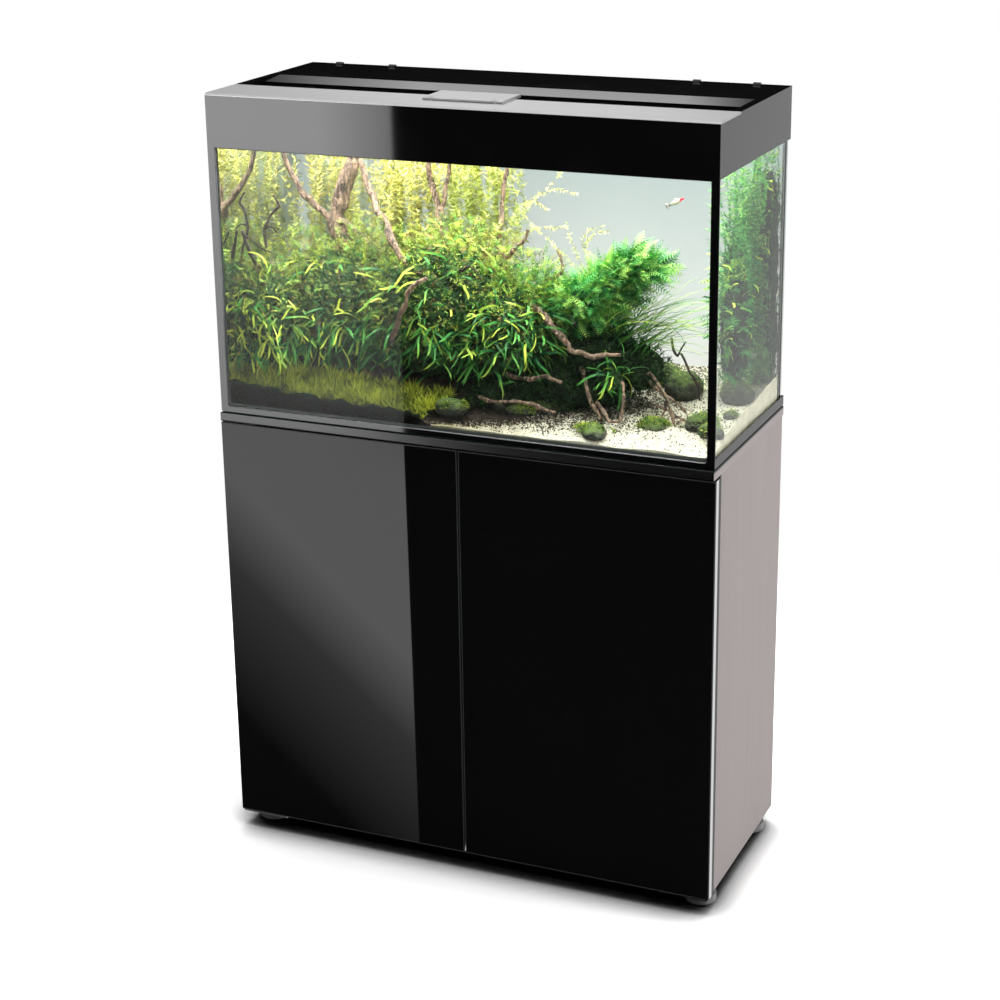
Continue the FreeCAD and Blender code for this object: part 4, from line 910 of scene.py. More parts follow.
class AQUARIUM_OT_ground(bpy.types.Operator):
    """Lay the dark soil and the cream sand, each with its loose grains"""
    bl_idname = "aquarium.ground"
    bl_label = "Soil and sand"

    def execute(self, context):
        sizes, colours = settings_of(context)
        soil_look = patched("Dark soil", rgba(colours.soil, 0.5), rgba(colours.soil, 1.5), 90.0, 420.0, 0.9, 0.85)
        sand_look = sand_finish(colours.sand, colours.speck)
        speck_look = patched("Sand speck", rgba(colours.speck, 0.5), rgba(colours.speck, 1.6), 200.0, 260.0, 0.6, 0.7)
        dress(slab(lambda x, y: x < litter_line(y), soil_height), "soil_bed", soil_look, "dark_soil", "soil")
        dress(slab(lambda x, y: x >= litter_line(y), sand_height), "sand_bed", sand_look, "cream_sand", "sand")
        dice = random.Random(11)

        def fading(distance, reach):
            """Share left at a distance, which falls away with its reach."""
            return math.exp(-distance / reach)

        def on_soil(x, y):
            """Just above the soil."""
            return soil_height(x, y) + 0.0006

        def speckled(x, y, dice):
            """Thick along the litter and along one line near the front, in drifts."""
            past = x - litter_line(y)
            return (past > 0 and noise_at(x, y, 34, 5) > dice.uniform(-0.5, 0.35)
                    and dice.random() < 0.10 + 1.1 * fading(past, 0.07) + 0.6 * fading(abs(y + 0.09), 0.02))

        def pale(x, y, dice):
            """On the litter, thick at its edge."""
            past = x - litter_line(y)
            return (-0.045 < past < 0 and x > border_at(y) + 0.004 and dice.random() < fading(-past, 0.022))

        def littered(x, y, dice):
            """Thick next to the litter and below the mound, in drifts."""
            past = x - litter_line(y)
            return (past > 0 and noise_at(x, y, 60, 2) > dice.uniform(-0.7, 0.2)
                    and dice.random() < 0.03 + 1.3 * fading(max(0.0, past - 0.02), 0.030)
                    + 0.8 * fading(max(0.0, x - 0.21), 0.04) * clamp((y - ROOM_LOW.y - 0.012) / 0.030))

        grains("soil_grains", dice, 4600, lambda x, y, dice: x < litter_line(y) + dice.gauss(0, 0.007), on_soil,
               sizes.grain_size, soil_look, "dark_soil")
        grains("sand_specks", dice, 3600, speckled, lambda x, y: sand_height(x, y) + 0.0005, sizes.speck_size,
               speck_look, "cream_sand")
        grains("litter_grains", dice, 1500, pale, on_soil, sizes.speck_size * 1.3, sand_look, "cream_sand", 0.6)
        grains("sand_litter", dice, 3400, littered, lambda x, y: sand_height(x, y) + 0.0008,
               sizes.speck_size * 1.7, speck_look, "cream_sand", 0.4)
        return {"FINISHED"}


STONES = clumps(
    (-60, 90, 26, 26, 16, 17), (100, 250, 28, 32, 22, 18), (345, 400, 34, 38, 28, 24), (290, 280, 26, 38, 24, 18),
    (520, 90, 16, 32, 18, 10), (200, 200, 22, 30, 18, 12), (720, 620, 42, 36, 28, 26), (600, 740, 46, 32, 26, 22),
    (895, 250, 28, 25, 20, 17), (714, 220, 20, 28, 20, 11), (925, 620, 40, 26, 30, 24), (950, 880, 48, 17, 20, 15),
    (960, 400, 28, 10, 12, 9), (950, 170, 24, 13, 21, 14))


def stone_finish(colours):
    """Dark stone with a film of moss on its upper side."""
    material = patched("Mossy stone", rgba(colours.stone, 0.6), rgba(colours.stone, 1.5), 70.0, 420.0, 0.8, 0.7)
    tree = material.node_tree
    moss = work_out(tree, "MULTIPLY", facing_of(tree)["Z"], cloud(tree, place_of(tree), 55.0, 4.0))
    return painted_over(material, spread(tree, moss, 0.22, 0.46), rgba(colours.stone_moss))


class AQUARIUM_OT_stones(bpy.types.Operator):
    """Set the rounded mossy stones and their tufts along the border and on the sand"""
    bl_idname = "aquarium.stones"
    bl_label = "Stones"

    def execute(self, context):
        balls = []
        for index, (centre, radii) in enumerate(STONES):
            ball = add_shape(bpy.ops.mesh.primitive_ico_sphere_add,
                             placed(place(*centre), radii, Matrix.Rotation(index * 1.3, 4, "Z")),
                             subdivisions=5, radius=1)
            displace(ball, 0.022, 0.45 * min(radii))
            displace(ball, 0.006, 0.0024)
            bpy.ops.object.shade_smooth()
            balls.append(ball)
        heap = joined(balls)
        press_in(heap)
        colours = context.scene.aquarium_colours
        dress(heap, "border_stones", stone_finish(colours), "mossy_stone", "stones")
        dice = random.Random(15)
        spots = []
        for centre, radii in STONES:
            for tuft in range(700 if centre[1] < 0.28 and centre[0] < 0.75 else 190):
                out = Vector((dice.gauss(0, 0.7), dice.gauss(0, 0.7), dice.uniform(0.15, 1.0))).normalized()
                base = inside(centre, radii, out, 0.97)
                if noise.noise(base * 60) > -0.15:
                    spots.append((base, out + Vector((dice.gauss(0, 0.5), dice.gauss(0, 0.5), 0.3)), 0.0,
                                  dice.uniform(0.003, 0.008), 0.0016, 0.6, dice.uniform(0.0, 1.1)))
        grow("stone_tufts", shoot(1, 0.5), spots,
             leaf_finish("Stone tuft", colours.moss_deep, colours.carpet_bright, 0.7, 0.0), "moss_green")
        return {"FINISHED"}


# ---------------------------------------------------------------- root wood

LIMBS = [
    limb(190, 115, -500, 540, 10, -400, 520, 78, -560, 530, 150, -700, 530, 225, -735, 540, 256, -715, 550, 290,
         -675, 560, 330, -650, 570, 398),
    limb(68, 52, -300, 400, 120, -320, 300, 190, -342, 300, 226, -370, 330, 242, -407, 360, 254, -448, 400, 273,
         -489, 440, 293, -563, 500, 326, -640, 560, 398),
    limb(65, 35, -735, 540, 258, -800, 520, 288, -855, 500, 305, -905, 500, 336, -945, 500, 380),
    limb(60, 30, -735, 540, 266, -680, 520, 266, -627, 500, 254, -554, 460, 236),
    limb(60, 40, -280, 540, 150, -245, 560, 215, -285, 580, 262, -305, 600, 296, -335, 600, 340, -345, 600, 395),
    limb(50, 30, -285, 580, 268, -262, 600, 326, -225, 600, 395),
    limb(60, 40, 20, 560, 160, -45, 600, 240, -35, 620, 300, 0, 660, 395),
    limb(45, 36, -420, 340, 80, -338, 160, 115, -298, 130, 143, -275, 120, 164, -256, 120, 187, -234, 130, 202,
         -203, 140, 211, -178, 150, 216),
    limb(110, 32, -400, 520, 78, -100, 500, 120, 80, 420, 168, 214, 300, 172, 280, 260, 160, 345, 240, 143,
         392, 220, 122, 470, 220, 114, 575, 240, 122),
    limb(60, 30, 340, 460, 120, 400, 300, 90, 460, 200, 60, 520, 160, 30),
    limb(40, 18, 450, 460, 120, 660, 340, 92, 730, 280, 73, 765, 260, 52, 790, 240, 34, 815, 200, 18),
    limb(34, 16, 652, 360, 81, 711, 320, 64, 774, 280, 57, 834, 250, 45, 863, 220, 30),
    limb(26, 13, 755, 280, 53, 739, 240, 33, 771, 200, 18, 826, 160, 12),
    limb(28, 14, 694, 300, 45, 754, 270, 40, 818, 240, 33, 894, 220, 28, 907, 240, 36),
    limb(24, 13, 810, 200, 28, 835, 220, 37, 870, 180, 25, 915, 160, 19),
    limb(40, 30, 100, 240, 74, 170, 200, 72, 235, 180, 76, 295, 180, 81, 360, 180, 77),
    limb(35, 25, 20, 160, 42, 108, 120, 41, 190, 120, 46, 272, 120, 43, 353, 120, 33),
    limb(35, 25, 500, 200, 50, 545, 140, 36, 575, 120, 29, 615, 120, 32, 625, 140, 63, 600, 200, 85),
    limb(55, 22, 30, 500, 230, 65, 480, 244, 105, 500, 254, 120, 500, 276),
    limb(48, 20, 200, 460, 200, 262, 460, 212, 275, 480, 232, 240, 500, 250),
]
TWIGS = [                                    # thin and dark
    limb(34, 18, -920, 300, 170, -945, 320, 225, -965, 340, 258, -940, 360, 276, -912, 380, 292, -935, 380, 308),
    limb(20, 12, -965, 340, 258, -930, 340, 262, -905, 340, 252),
    limb(45, 25, -900, 240, 170, -935, 220, 200, -965, 200, 226, -985, 180, 262),
    limb(22, 14, -975, 140, 262, -950, 160, 256, -915, 200, 238, -880, 220, 228),
    limb(26, 14, 700, 520, 128, 726, 500, 102, 745, 480, 112, 775, 460, 130),
    limb(26, 14, 745, 500, 108, 790, 460, 86, 825, 440, 70, 842, 420, 45),
    limb(30, 16, -660, 400, 200, -620, 340, 182, -550, 320, 172, -500, 300, 176),
    limb(28, 14, -100, 300, 215, -50, 260, 232, 0, 240, 226),
]


def branches(limbs, voxel, relief):
    """Limbs as tapered curves, melted into one skin with bark relief."""
    curve = bpy.data.curves.new("limbs", "CURVE")
    curve.dimensions, curve.bevel_depth, curve.bevel_resolution, curve.use_fill_caps = "3D", 1.0, 2, True
    dice = random.Random(9)
    for points, thick, thin in limbs:
        path = [place(*points[0])]
        for start, finish in zip(points, points[1:]):
            low, high = place(*start), place(*finish)
            parts = 2 if (high - low).length < 0.05 else 3
            path += [low.lerp(high, part / parts) for part in range(1, parts + 1)]
        spline = curve.splines.new("NURBS")
        spline.points.add(len(path) - 1)
        for index, (point, knot) in enumerate(zip(path, spline.points)):
            radius = thick + (index / (len(path) - 1)) ** 0.7 * (thin - thick)
            knot.co = (*(point + astray(dice, 1, 1, 1) * min(0.0035, 0.0006 + 0.28 * radius)), 1)
            knot.radius = radius * dice.uniform(0.72, 1.22)
        spline.order_u, spline.use_endpoint_u, spline.resolution_u = 3, True, 8
    wood = set_up("limbs", curve)
    alone(wood)
    bpy.ops.object.convert(target="MESH")
    melt(wood, voxel)
    displace(wood, 0.020, relief)
    displace(wood, 0.005, relief * 0.45)
    bpy.ops.object.shade_smooth()
    press_in(wood, HOOD_UNDER - 0.002)
    return wood


def wood_finish(colours):
    """Root wood: pale lines of painted highlight, dark in its hollows."""
    material = patched("Root wood", rgba(colours.wood_dark, 1.6), rgba(colours.wood), 38.0, 320.0, 0.9, 0.72)
    tree = material.node_tree
    streak = cloud(tree, place_of(tree, (1, 1, 0.25)), 240.0, 4.0)
    # Painted highlight: pale lines along the wood, much lighter than its own colour.
    return painted_over(material, spread(tree, streak, 0.46, 0.62), rgba(colours.wood, 1.9))


class AQUARIUM_OT_driftwood(bpy.types.Operator):
    """Grow the branching root and its dark twigs"""
    bl_idname = "aquarium.driftwood"
    bl_label = "Root wood"

    def execute(self, context):
        colours = context.scene.aquarium_colours
        dress(branches(LIMBS, 0.0016, 0.0035), "root_wood", wood_finish(colours), "root_wood", "driftwood")
        dark = patched("Dark twig", rgba(colours.wood_dark, 0.6), rgba(colours.wood_dark, 1.8), 120.0, 600.0,
                       0.8, 0.7)
        dress(branches(TWIGS, 0.0010, 0.0014), "dark_twigs", dark, "root_wood")
        return {"FINISHED"}


# ---------------------------------------------------------------- plants

EQUIPMENT = [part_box(node) for node in ("filter_body", "filter_head", "heater")]
HOLDFAST = 0.13                              # height above the tank floor that the short stems grow from, in metres
STALK_WIDTH = 0.0016                         # in metres
STALK_LAP = 1.02                             # each length of a stalk runs a little into the next
BARE_FOOT = 0.30                             # share of a stem that has no leaves
WHORL_LEAVES = 5
WHORL_LOSS = 0.12                            # share of the whorls that are missing
LEAF_SLIM = 0.28                             # width of a stem's leaf for its length

# Each clump in thousandths: centre by place(), radii in metres.
STRAP_CLUMPS = clumps(
    (-660, 450, 130, 118, 92, 105), (-930, 240, 126, 40, 76, 96), (-880, 200, 130, 48, 48, 80),
    (-220, 420, 140, 128, 92, 118), (100, 420, 118, 92, 82, 92), (540, 260, 82, 14, 14, 18))
HAZE_CLUMPS = clumps(
    (-840, 460, 200, 62, 62, 52), (-520, 480, 222, 84, 58, 48), (-180, 480, 236, 94, 56, 50),
    (120, 480, 205, 68, 50, 46))
MOUND_CLUMPS = clumps(
    (400, 360, 186, 40, 30, 30), (390, 480, 165, 56, 50, 40), (480, 460, 205, 44, 44, 36),
    (550, 450, 232, 34, 38, 26), (630, 440, 232, 26, 30, 18))
SLOPE_CLUMPS = clumps(
    (300, 430, 178, 50, 45, 32), (170, 450, 194, 56, 48, 26))
# Dark clumps: masses of painted shade under the thicket and the mound, with dim moss leaves over them.
DARK_CLUMPS = clumps(
    (430, 430, 100, 84, 62, 56), (600, 410, 88, 50, 44, 40), (200, 360, 60, 120, 62, 50), (440, 360, 50, 60, 44, 32),
    (260, 300, 50, 80, 36, 34), (80, 240, 36, 62, 36, 26))
CORNER_CLUMP = clumps(
    (905, 660, 135, 30, 36, 105), (880, 860, 180, 38, 40, 150), (965, 900, 215, 22, 34, 200),
    (970, 930, 105, 20, 28, 80))
# Stands of stems: across and along, each from and to; share of the stems; tones at foot and tip; sway across,
# mean lean and sway along in metres; gap between whorls.
STEM_STANDS = [((-0.96, -0.58), (0.60, 0.93), 0.17, (0.55, 1.35), (0.022, -0.012, 0.012), 0.0085),
               ((-0.62, -0.30), (0.62, 0.95), 0.26, (0.55, 1.35), (0.022, -0.012, 0.012), 0.0085),
               ((-0.34, -0.02), (0.66, 0.95), 0.36, (0.05, 0.80), (0.022, -0.012, 0.012), 0.0085)]
CORNER_STAND = ((0.84, 0.985), (0.62, 0.98), 0.19, (-0.1, 0.75), (0.010, 0, 0.010), 0.0075)
# Sprays of pale young stems that arch over the thicket.
SPRAYS = [
    route(-20, 620, 230, 20, 600, 275, 90, 580, 312, 170, 560, 322, 250, 540, 312),
    route(0, 600, 235, 60, 580, 268, 140, 560, 292, 220, 550, 302, 270, 540, 316),
    route(360, 540, 205, 340, 540, 240, 310, 530, 262, 340, 520, 282, 390, 510, 288),
    route(350, 550, 200, 300, 540, 238, 260, 530, 270, 240, 520, 292),
]


def leaf_finish(name, deep, bright, rough=0.45, coat=0.04, cool=0.35):
    """Thin wet leaf; between its deep and bright colours it turns a cool green as its red is held back."""
    middle = [0.62 * low + 0.38 * high for low, high in zip(deep, bright)]
    middle[0] *= cool
    return finish_of(name, foliage(), dict(Deep=rgba(deep), Middle=rgba(middle), Bright=rgba(bright)),
                     Roughness=rough, Specular_IOR_Level=0.25, Coat_Weight=coat, Coat_Roughness=0.25)


def heart_finish(colours, light=1.0):
    """Dark finish of painted shade inside a clump, made once for each light."""
    name = "Clump heart" if light == 1.0 else "Thicket heart"
    return bpy.data.materials.get(name) or patched(
        name, rgba(colours.moss_deep, 0.5 * light), rgba(colours.moss_deep, 2.2 * light), 80.0, 500.0, 1.0, 0.85)


def in_ball(dice, low):
    """Random point of a ball of radius 1, outside a share of it."""
    while True:
        point = Vector(any_way(dice))
        if low < point.length < 1:
            return point


def blocked(point, margin=0.012):
    """True inside the filter or the heater."""
    return any(all(low[axis] - margin < point[axis] < high[axis] + margin for axis in range(3))
               for low, high in EQUIPMENT)


def clump_spots(dice, rows, count, low, length, width, droop, lean, outward=0.35):
    """Where leaves of clumps grow: from inside towards the outside, bent over by their weight."""
    weights = [radii[0] * radii[2] for centre, radii in rows]
    spots = []
    while len(spots) < count:
        centre, radii = dice.choices(rows, weights)[0]
        share = in_ball(dice, low)
        base = inside(centre, radii, share)
        if base.z < ground_at(base.x, base.y) + 0.004 or blocked(base):
            continue
        aim = share + Vector(lean) + astray(dice, outward, outward, outward)
        # Painted light: a leaf high in its clump gets a brighter tone, one low in it a darker tone.
        light = 0.12 + 0.95 * clamp((share.z + 1) / 2)
        spots.append((base, aim, dice.gauss(0, 0.7), length * dice.uniform(0.4, 1.0),
                      width * dice.uniform(0.65, 1.15), dice.gauss(droop, 0.6),
                      light * (0.02 + 1.45 * dice.random() ** 2.4)))
    return spots


def toned(spots, tone, wide=None):
    """The same spots with a tone worked out from base and old tone; wide is a new share of width to length."""
    return [(base, aim, roll, length, length * wide if wide else width, bend, tone(base, old))
            for base, aim, roll, length, width, bend, old in spots]


def thinned(dice, spots, foot):
    """The spots left when they grow thin towards the foot of the thicket and towards its right end."""
    return [spot for spot in spots
            if dice.random() < (spot[0].z - ROOM_LOW.z - foot) / 0.07 - max(0.0, spot[0].x + 0.03) * 2]


class AQUARIUM_OT_strap_plants(bpy.types.Operator):
    """Grow the thicket of bright strap leaves over its dark heart of painted shade"""
    bl_idname = "aquarium.strap_plants"
    bl_label = "Strap leaves"

    def execute(self, context):
        sizes, colours = settings_of(context)
        heart("thicket_heart", STRAP_CLUMPS, 0.86, 0.016, 0.020, heart_finish(colours, 2.5), "leaf_green")
        dice = random.Random(21)

        def kept(base):
            """Leaves at the top and at the foot of the thicket are few."""
            x, rise = base.x, base.z - ROOM_LOW.z
            return ((rise < (0.148 if -0.33 < x < -0.03 else 0.170) or dice.random() < 0.12)
                    and (rise > (0.100 if -0.12 < x < 0.14 else 0.070) or x > 0.14 or dice.random() < 0.22))

        spots = clump_spots(dice, STRAP_CLUMPS, sizes.strap_count, 0.72, sizes.strap_length, sizes.strap_width,
                            1.2, (0, -0.35, 0.05), 0.62)
        # Painted light: strap leaves at the left end of the thicket are given a brighter tone.
        spots = toned([spot for spot in spots if kept(spot[0])],
                      lambda base, tone: tone + (0.14 + 1.5 * tone) * clamp((-0.20 - base.x) / 0.12))
        grow("strap_leaves", strap_model(7, 0.75), spots,
             leaf_finish("Strap leaf", colours.leaf_deep, colours.leaf_bright), "leaf_green", "strap_plants")
        for kind, share, deep, bright, cool in (("moss", 0.42, colours.moss_deep, colours.fern_bright, 0.5),
                                                ("pale", 0.28, colours.stem_deep, colours.leaf_bright, 1.0),
                                                ("litter", 0.30, colours.wood_dark, colours.litter, 1.0)):
            look = leaf_finish(kind.capitalize() + " leaves", deep, bright, 0.55, 0.0, cool)
            spots = clump_spots(dice, STRAP_CLUMPS, round(sizes.moss_count * share), 0.86, 0.0095, 0.0024, 0.5,
                                (0, -0.1, 0.4), 0.9)
            grow(kind + "_leaves", shoot(1, 0.35),
                 toned(thinned(dice, spots, 0.08), lambda base, tone: 0.18 + 0.75 * tone), look, "leaf_green")
            count = round(sizes.sprig_count * share / 2)
            spots = [*clump_spots(dice, HAZE_CLUMPS, count, 0.15, 0.026, 0.022, 0.7, (0, -0.1, 0.7), 0.7),
                     *clump_spots(dice, STRAP_CLUMPS[:5], 2 * count, 0.94, 0.022, 0.020, 0.7, (0, -0.4, 0.5), 0.7)]
            grow(kind + "_sprigs", frond_model(4),
                 toned(thinned(dice, spots, 0.07), lambda base, tone: 0.22 + 0.8 * tone), look, "leaf_green")
        return {"FINISHED"}


class AQUARIUM_OT_fern_mound(bpy.types.Operator):
    """Grow the fern mound on the right and the thin blades that lean out of it"""
    bl_idname = "aquarium.fern_mound"
    bl_label = "Fern mound"

    def execute(self, context):
        sizes, colours = settings_of(context)
        inner = [(centre, [radius * 0.75 for radius in radii]) for centre, radii in MOUND_CLUMPS]
        # The mound's heart takes in the dark clumps: painted shade.
        heart("mound_heart", [*inner, *DARK_CLUMPS], 0.76, 0.016, 0.016, heart_finish(colours), "moss_green")
        dice = random.Random(31)
        spots = clump_spots(dice, MOUND_CLUMPS, sizes.frond_count, 0.35, sizes.frond_length, 1.0, 0.8,
                            (0.85, -0.15, 0.70), 0.30)
        grow("fern_fronds", frond_model(7),
             toned(spots, lambda base, tone: 0.30 + 0.45 * tone + 0.8 * noise.noise(base * 70), 0.85),
             leaf_finish("Fern frond", colours.fern_deep, colours.fern_bright), "moss_green", "moss_mound")
        spots = clump_spots(dice, SLOPE_CLUMPS, 900, 0.25, 0.030, 0.024, 0.6, (0.5, -0.1, 0.6), 0.5)
        grow("slope_fronds", frond_model(5),
             toned(spots, lambda base, tone: 0.10 + 0.5 * tone + 0.8 * noise.noise(base * 70)),
             leaf_finish("Slope frond", colours.fern_deep, colours.leaf_bright, 0.6, 0.0, 0.6), "moss_green")
        # Painted shade: dim moss leaves over the dark clumps, their tone held low.
        spots = clump_spots(dice, DARK_CLUMPS, 7000, 0.70, 0.013, 0.0026, 0.5, (0.1, -0.1, 0.3), 0.8)
        grow("shade_moss", shoot(1, 0.35), toned(spots, lambda base, tone: tone * 0.75),
             leaf_finish("Shade moss", colours.moss_deep, colours.stone_moss, 0.6, 0.05), "moss_green")
        spots = []
        for blade in range(sizes.blade_count):
            base = place(dice.uniform(0.44, 0.64), dice.uniform(0.33, 0.50), dice.uniform(0.100, 0.150))
            aim = (dice.uniform(0.5, 1.1), dice.gauss(-0.10, 0.15), dice.uniform(0.5, 1.5))
            spots.append((base, aim, dice.gauss(0, 0.4), dice.uniform(0.070, 0.145), 0.0026,
                          dice.gauss(1.0, 0.4), dice.uniform(0.05, 0.7)))
        grow("long_blades", waved(shoot(5, 0.3, lambda share: 1.0 - 0.6 * share), 0.9, 0.6), spots,
             leaf_finish("Long blade", colours.leaf_deep, colours.leaf_bright), "moss_green")
        return {"FINISHED"}


def stem_line(foot, sway, height):
    """Line of a stem that rises, sways and leans over under the surface; sway: across, along and its phase."""
    return [foot + Vector((sway[0] * share ** 1.6 + 0.006 * math.sin(9 * share + sway[2]),
                           sway[1] * share ** 1.6 + 0.004 * math.cos(8 * share + sway[2]), height * share))
            for share in (step / 6 for step in range(7))]


def grow_stem(dice, line, bare, leaf, tones, bed, gap):
    """Adds one stem to a bed of stalks and leaves: its stalk, and whorls of leaves above its bare foot."""
    stalks, leaves = bed
    for step, (start, finish) in enumerate(zip(line, line[1:])):
        length = (finish - start).length
        stalks.append((start, finish - start, 0.0, length * STALK_LAP, STALK_WIDTH, 0.0, tones[0]))
        rise = (finish - start).normalized()
        across = rise.orthogonal().normalized()
        for whorl in range(int(length / gap)):
            share = (step + whorl * gap / length) / (len(line) - 1)
            if share < bare or dice.random() < WHORL_LOSS:
                continue
            for side in range(WHORL_LEAVES):
                at = start + rise * (whorl + dice.uniform(0, 0.8)) * gap
                out = Quaternion(rise, side * 2 * math.pi / WHORL_LEAVES + dice.gauss(0, 0.5)) @ across
                aim = out + rise * (0.35 + 0.6 * share + dice.gauss(0, 0.35))
                leaves.append((at, aim, dice.gauss(0, 0.5), leaf * dice.uniform(0.45, 1.25), leaf * LEAF_SLIM, 0.5,
                               (tones[0] + (tones[1] - tones[0]) * share) * dice.uniform(0.3, 1.2)))


def grow_stand(dice, stand, sizes, bed):
    """Adds the stems of one stand, from the ground to the surface."""
    across, along, portion, tones, (wide, lean, deep), gap = stand
    left = round(sizes.stem_count * portion)
    while left:
        foot = place(dice.uniform(*across), dice.uniform(*along), 0)
        if blocked(foot + Vector((0, 0, 0.25))):
            continue
        foot.z = ground_at(foot.x, foot.y) - ROOTED
        height = water_line() - foot.z - dice.uniform(0.0, 0.07)
        sway = (dice.gauss(0.0, wide), dice.gauss(lean, deep), dice.uniform(0, WHOLE_TURN))
        grow_stem(dice, stem_line(foot, sway, height), BARE_FOOT, sizes.stem_leaf, tones, bed, gap)
        left -= 1


class AQUARIUM_OT_stem_plants(bpy.types.Operator):
    """Grow the fine-leaved stems along the back"""
    bl_idname = "aquarium.stem_plants"
    bl_label = "Stem plants"

    def execute(self, context):
        sizes, colours = settings_of(context)
        dice = random.Random(41)
        bed = stalks, leaves = [], []
        for stand in STEM_STANDS:
            grow_stand(dice, stand, sizes, bed)
        for low, high in EQUIPMENT:                          # in front of the filter and the heater
            for stem in range(9):
                foot = Vector((dice.uniform(low.x - 0.004, high.x + 0.020), low.y - dice.uniform(0.016, 0.028), 0))
                foot.z = ground_at(foot.x, foot.y)
                height = water_line() - foot.z - dice.uniform(0.0, 0.03)
                line = stem_line(foot, (0.0, 0.0, dice.uniform(0, WHOLE_TURN)), height)
                grow_stem(dice, line, BARE_FOOT, sizes.stem_leaf, (0.3, 1.1), bed, 0.0075)
        for stem in range(90):                               # short ones over the thicket
            foot = place(dice.uniform(-0.97, 0.02), dice.uniform(0.42, 0.62), HOLDFAST)
            sway = (dice.gauss(0.0, 0.03), dice.gauss(-0.01, 0.01), dice.uniform(0, WHOLE_TURN))
            grow_stem(dice, stem_line(foot, sway, dice.uniform(0.06, 0.17)), 0.25, 0.010,
                      (-0.1, dice.uniform(0.5, 1.0)), bed, 0.0070)
        look = leaf_finish("Stem leaf", colours.stem_deep, colours.stem_bright, 0.5, 0.0, 0.9)
        stalk, leaf = stalk_model(), shoot(1, 0.3)
        grow("stalks", stalk, stalks, look, "stem_green")
        grow("stem_leaves", leaf, leaves, look, "stem_green", "stem_plants")
        bed = stalks, leaves = [], []
        for spray in SPRAYS:
            for twin in range(2):
                apart = astray(dice, 0.006, 0.008, 0.006)
                grow_stem(dice, [place(*point) + apart * step for step, point in enumerate(spray)], 0.0, 0.0070,
                          (0.1, 0.85), bed, 0.0042)
        pale = leaf_finish("Young leaf", colours.stem_deep, colours.spray, 0.5, 0.0, 1.0)
        grow("spray_stalks", stalk, stalks, look, "stem_green")
        grow("spray_leaves", leaf, leaves, pale, "stem_green")
        return {"FINISHED"}


class AQUARIUM_OT_corner_plants(bpy.types.Operator):
    """Grow the mixed clump in the back right corner"""
    bl_idname = "aquarium.corner_plants"
    bl_label = "Corner clump"

    def execute(self, context):
        sizes, colours = settings_of(context)
        dice = random.Random(61)
        heart("corner_heart", CORNER_CLUMP, 0.75, 0.018, 0.014, heart_finish(colours), "stem_green")
        stalks, leaves = [], []
        grow_stand(dice, CORNER_STAND, sizes, (stalks, leaves))
        green = leaf_finish("Corner stem leaf", colours.fern_deep, colours.fern_bright, 0.5, 0.05)
        grow("corner_stalks", stalk_model(), stalks, green, "stem_green")
        grow("corner_stems", shoot(1, 0.3), leaves, green, "stem_green")
        spots = clump_spots(dice, CORNER_CLUMP, 900, 0.65, sizes.strap_length * 0.55, sizes.strap_width, 1.3,
                            (0.35, -0.1, 0.2), 0.5)
        grow("corner_straps", strap_model(5, 0.8), spots,
             leaf_finish("Corner strap leaf", colours.leaf_deep, colours.leaf_bright), "leaf_green")
        spots = clump_spots(dice, CORNER_CLUMP, 900, 0.7, sizes.frond_length * 0.8, 1.0, 0.8,
                            (0.45, -0.1, 0.4), 0.45)
        grow("corner_fronds", frond_model(6), toned(spots, lambda base, tone: tone + 0.25, 1.0),
             leaf_finish("Corner frond", colours.fern_deep, colours.fern_bright), "moss_green")
        return {"FINISHED"}


class AQUARIUM_OT_carpet(bpy.types.Operator):
    """Spread the carpet moss on the front soil"""
    bl_idname = "aquarium.carpet"
    bl_label = "Carpet moss"

    def execute(self, context):
        sizes, colours = settings_of(context)
        dice = random.Random(51)
        bed = slab(lambda x, y: x < border_at(y) - 0.012 and y < ROOM_LOW.y + 0.058,
                   lambda x, y: (soil_height(x, y) + 0.004 + 0.007 * noise_at(x, y, 46, 3)
                                 + 0.003 * noise_at(x, y, 170, 3)))
        # The bed under the tufts takes the dark heart finish: painted shade under the tufts.
        dress(bed, "carpet_bed", heart_finish(colours), "carpet_green", "carpet_moss")
        spots = []
        while len(spots) < sizes.tuft_count * 3:
            x = dice.uniform(ROOM_LOW.x + WALL_GAP, border_at(ROOM_LOW.y) + 0.02)
            y = ROOM_LOW.y + 0.003 + 0.058 * dice.random() ** 1.2
            if x > border_at(y) - 0.008:
                continue
            hump = noise_at(x, y, 46, 3)
            tone = 0.36 + 1.1 * hump + dice.gauss(0, 0.55)
            low = 0.006 * dice.random() if y < ROOM_LOW.y + 0.010 else 0.0
            base = (x, y, soil_line(x, y) + 0.003 + 0.007 * hump - low)
            for blade in range(3):
                aim = (dice.gauss(0, 0.7), dice.gauss(-0.1, 0.7), 0.9)
                spots.append((base, aim, dice.uniform(0, WHOLE_TURN), sizes.tuft_height * dice.uniform(0.3, 1.3),
                              0.0022, dice.gauss(0, 0.9), tone))
        look = leaf_finish("Carpet moss", colours.carpet_deep, colours.carpet_bright, 0.7, 0.0, 0.8)
        grow("carpet_tufts", shoot(1, 0.5), spots, look, "carpet_green")
        return {"FINISHED"}


# ---------------------------------------------------------------- water and fish

WATER_TINT = (0.96, 1.0, 0.99, 1)
# Colours of the fish from its tail to its head, each with the share of its length where it stands.
FISH_BANDS = ((0.0, (0.02, 0.02, 0.02, 1)), (0.12, (0.75, 0.72, 0.6, 1)), (0.2, (0.05, 0.05, 0.04, 1)),
              (0.3, (0.55, 0.55, 0.38, 1)), (0.72, (0.68, 0.62, 0.42, 1)), (0.80, (0.85, 0.03, 0.05, 1)))


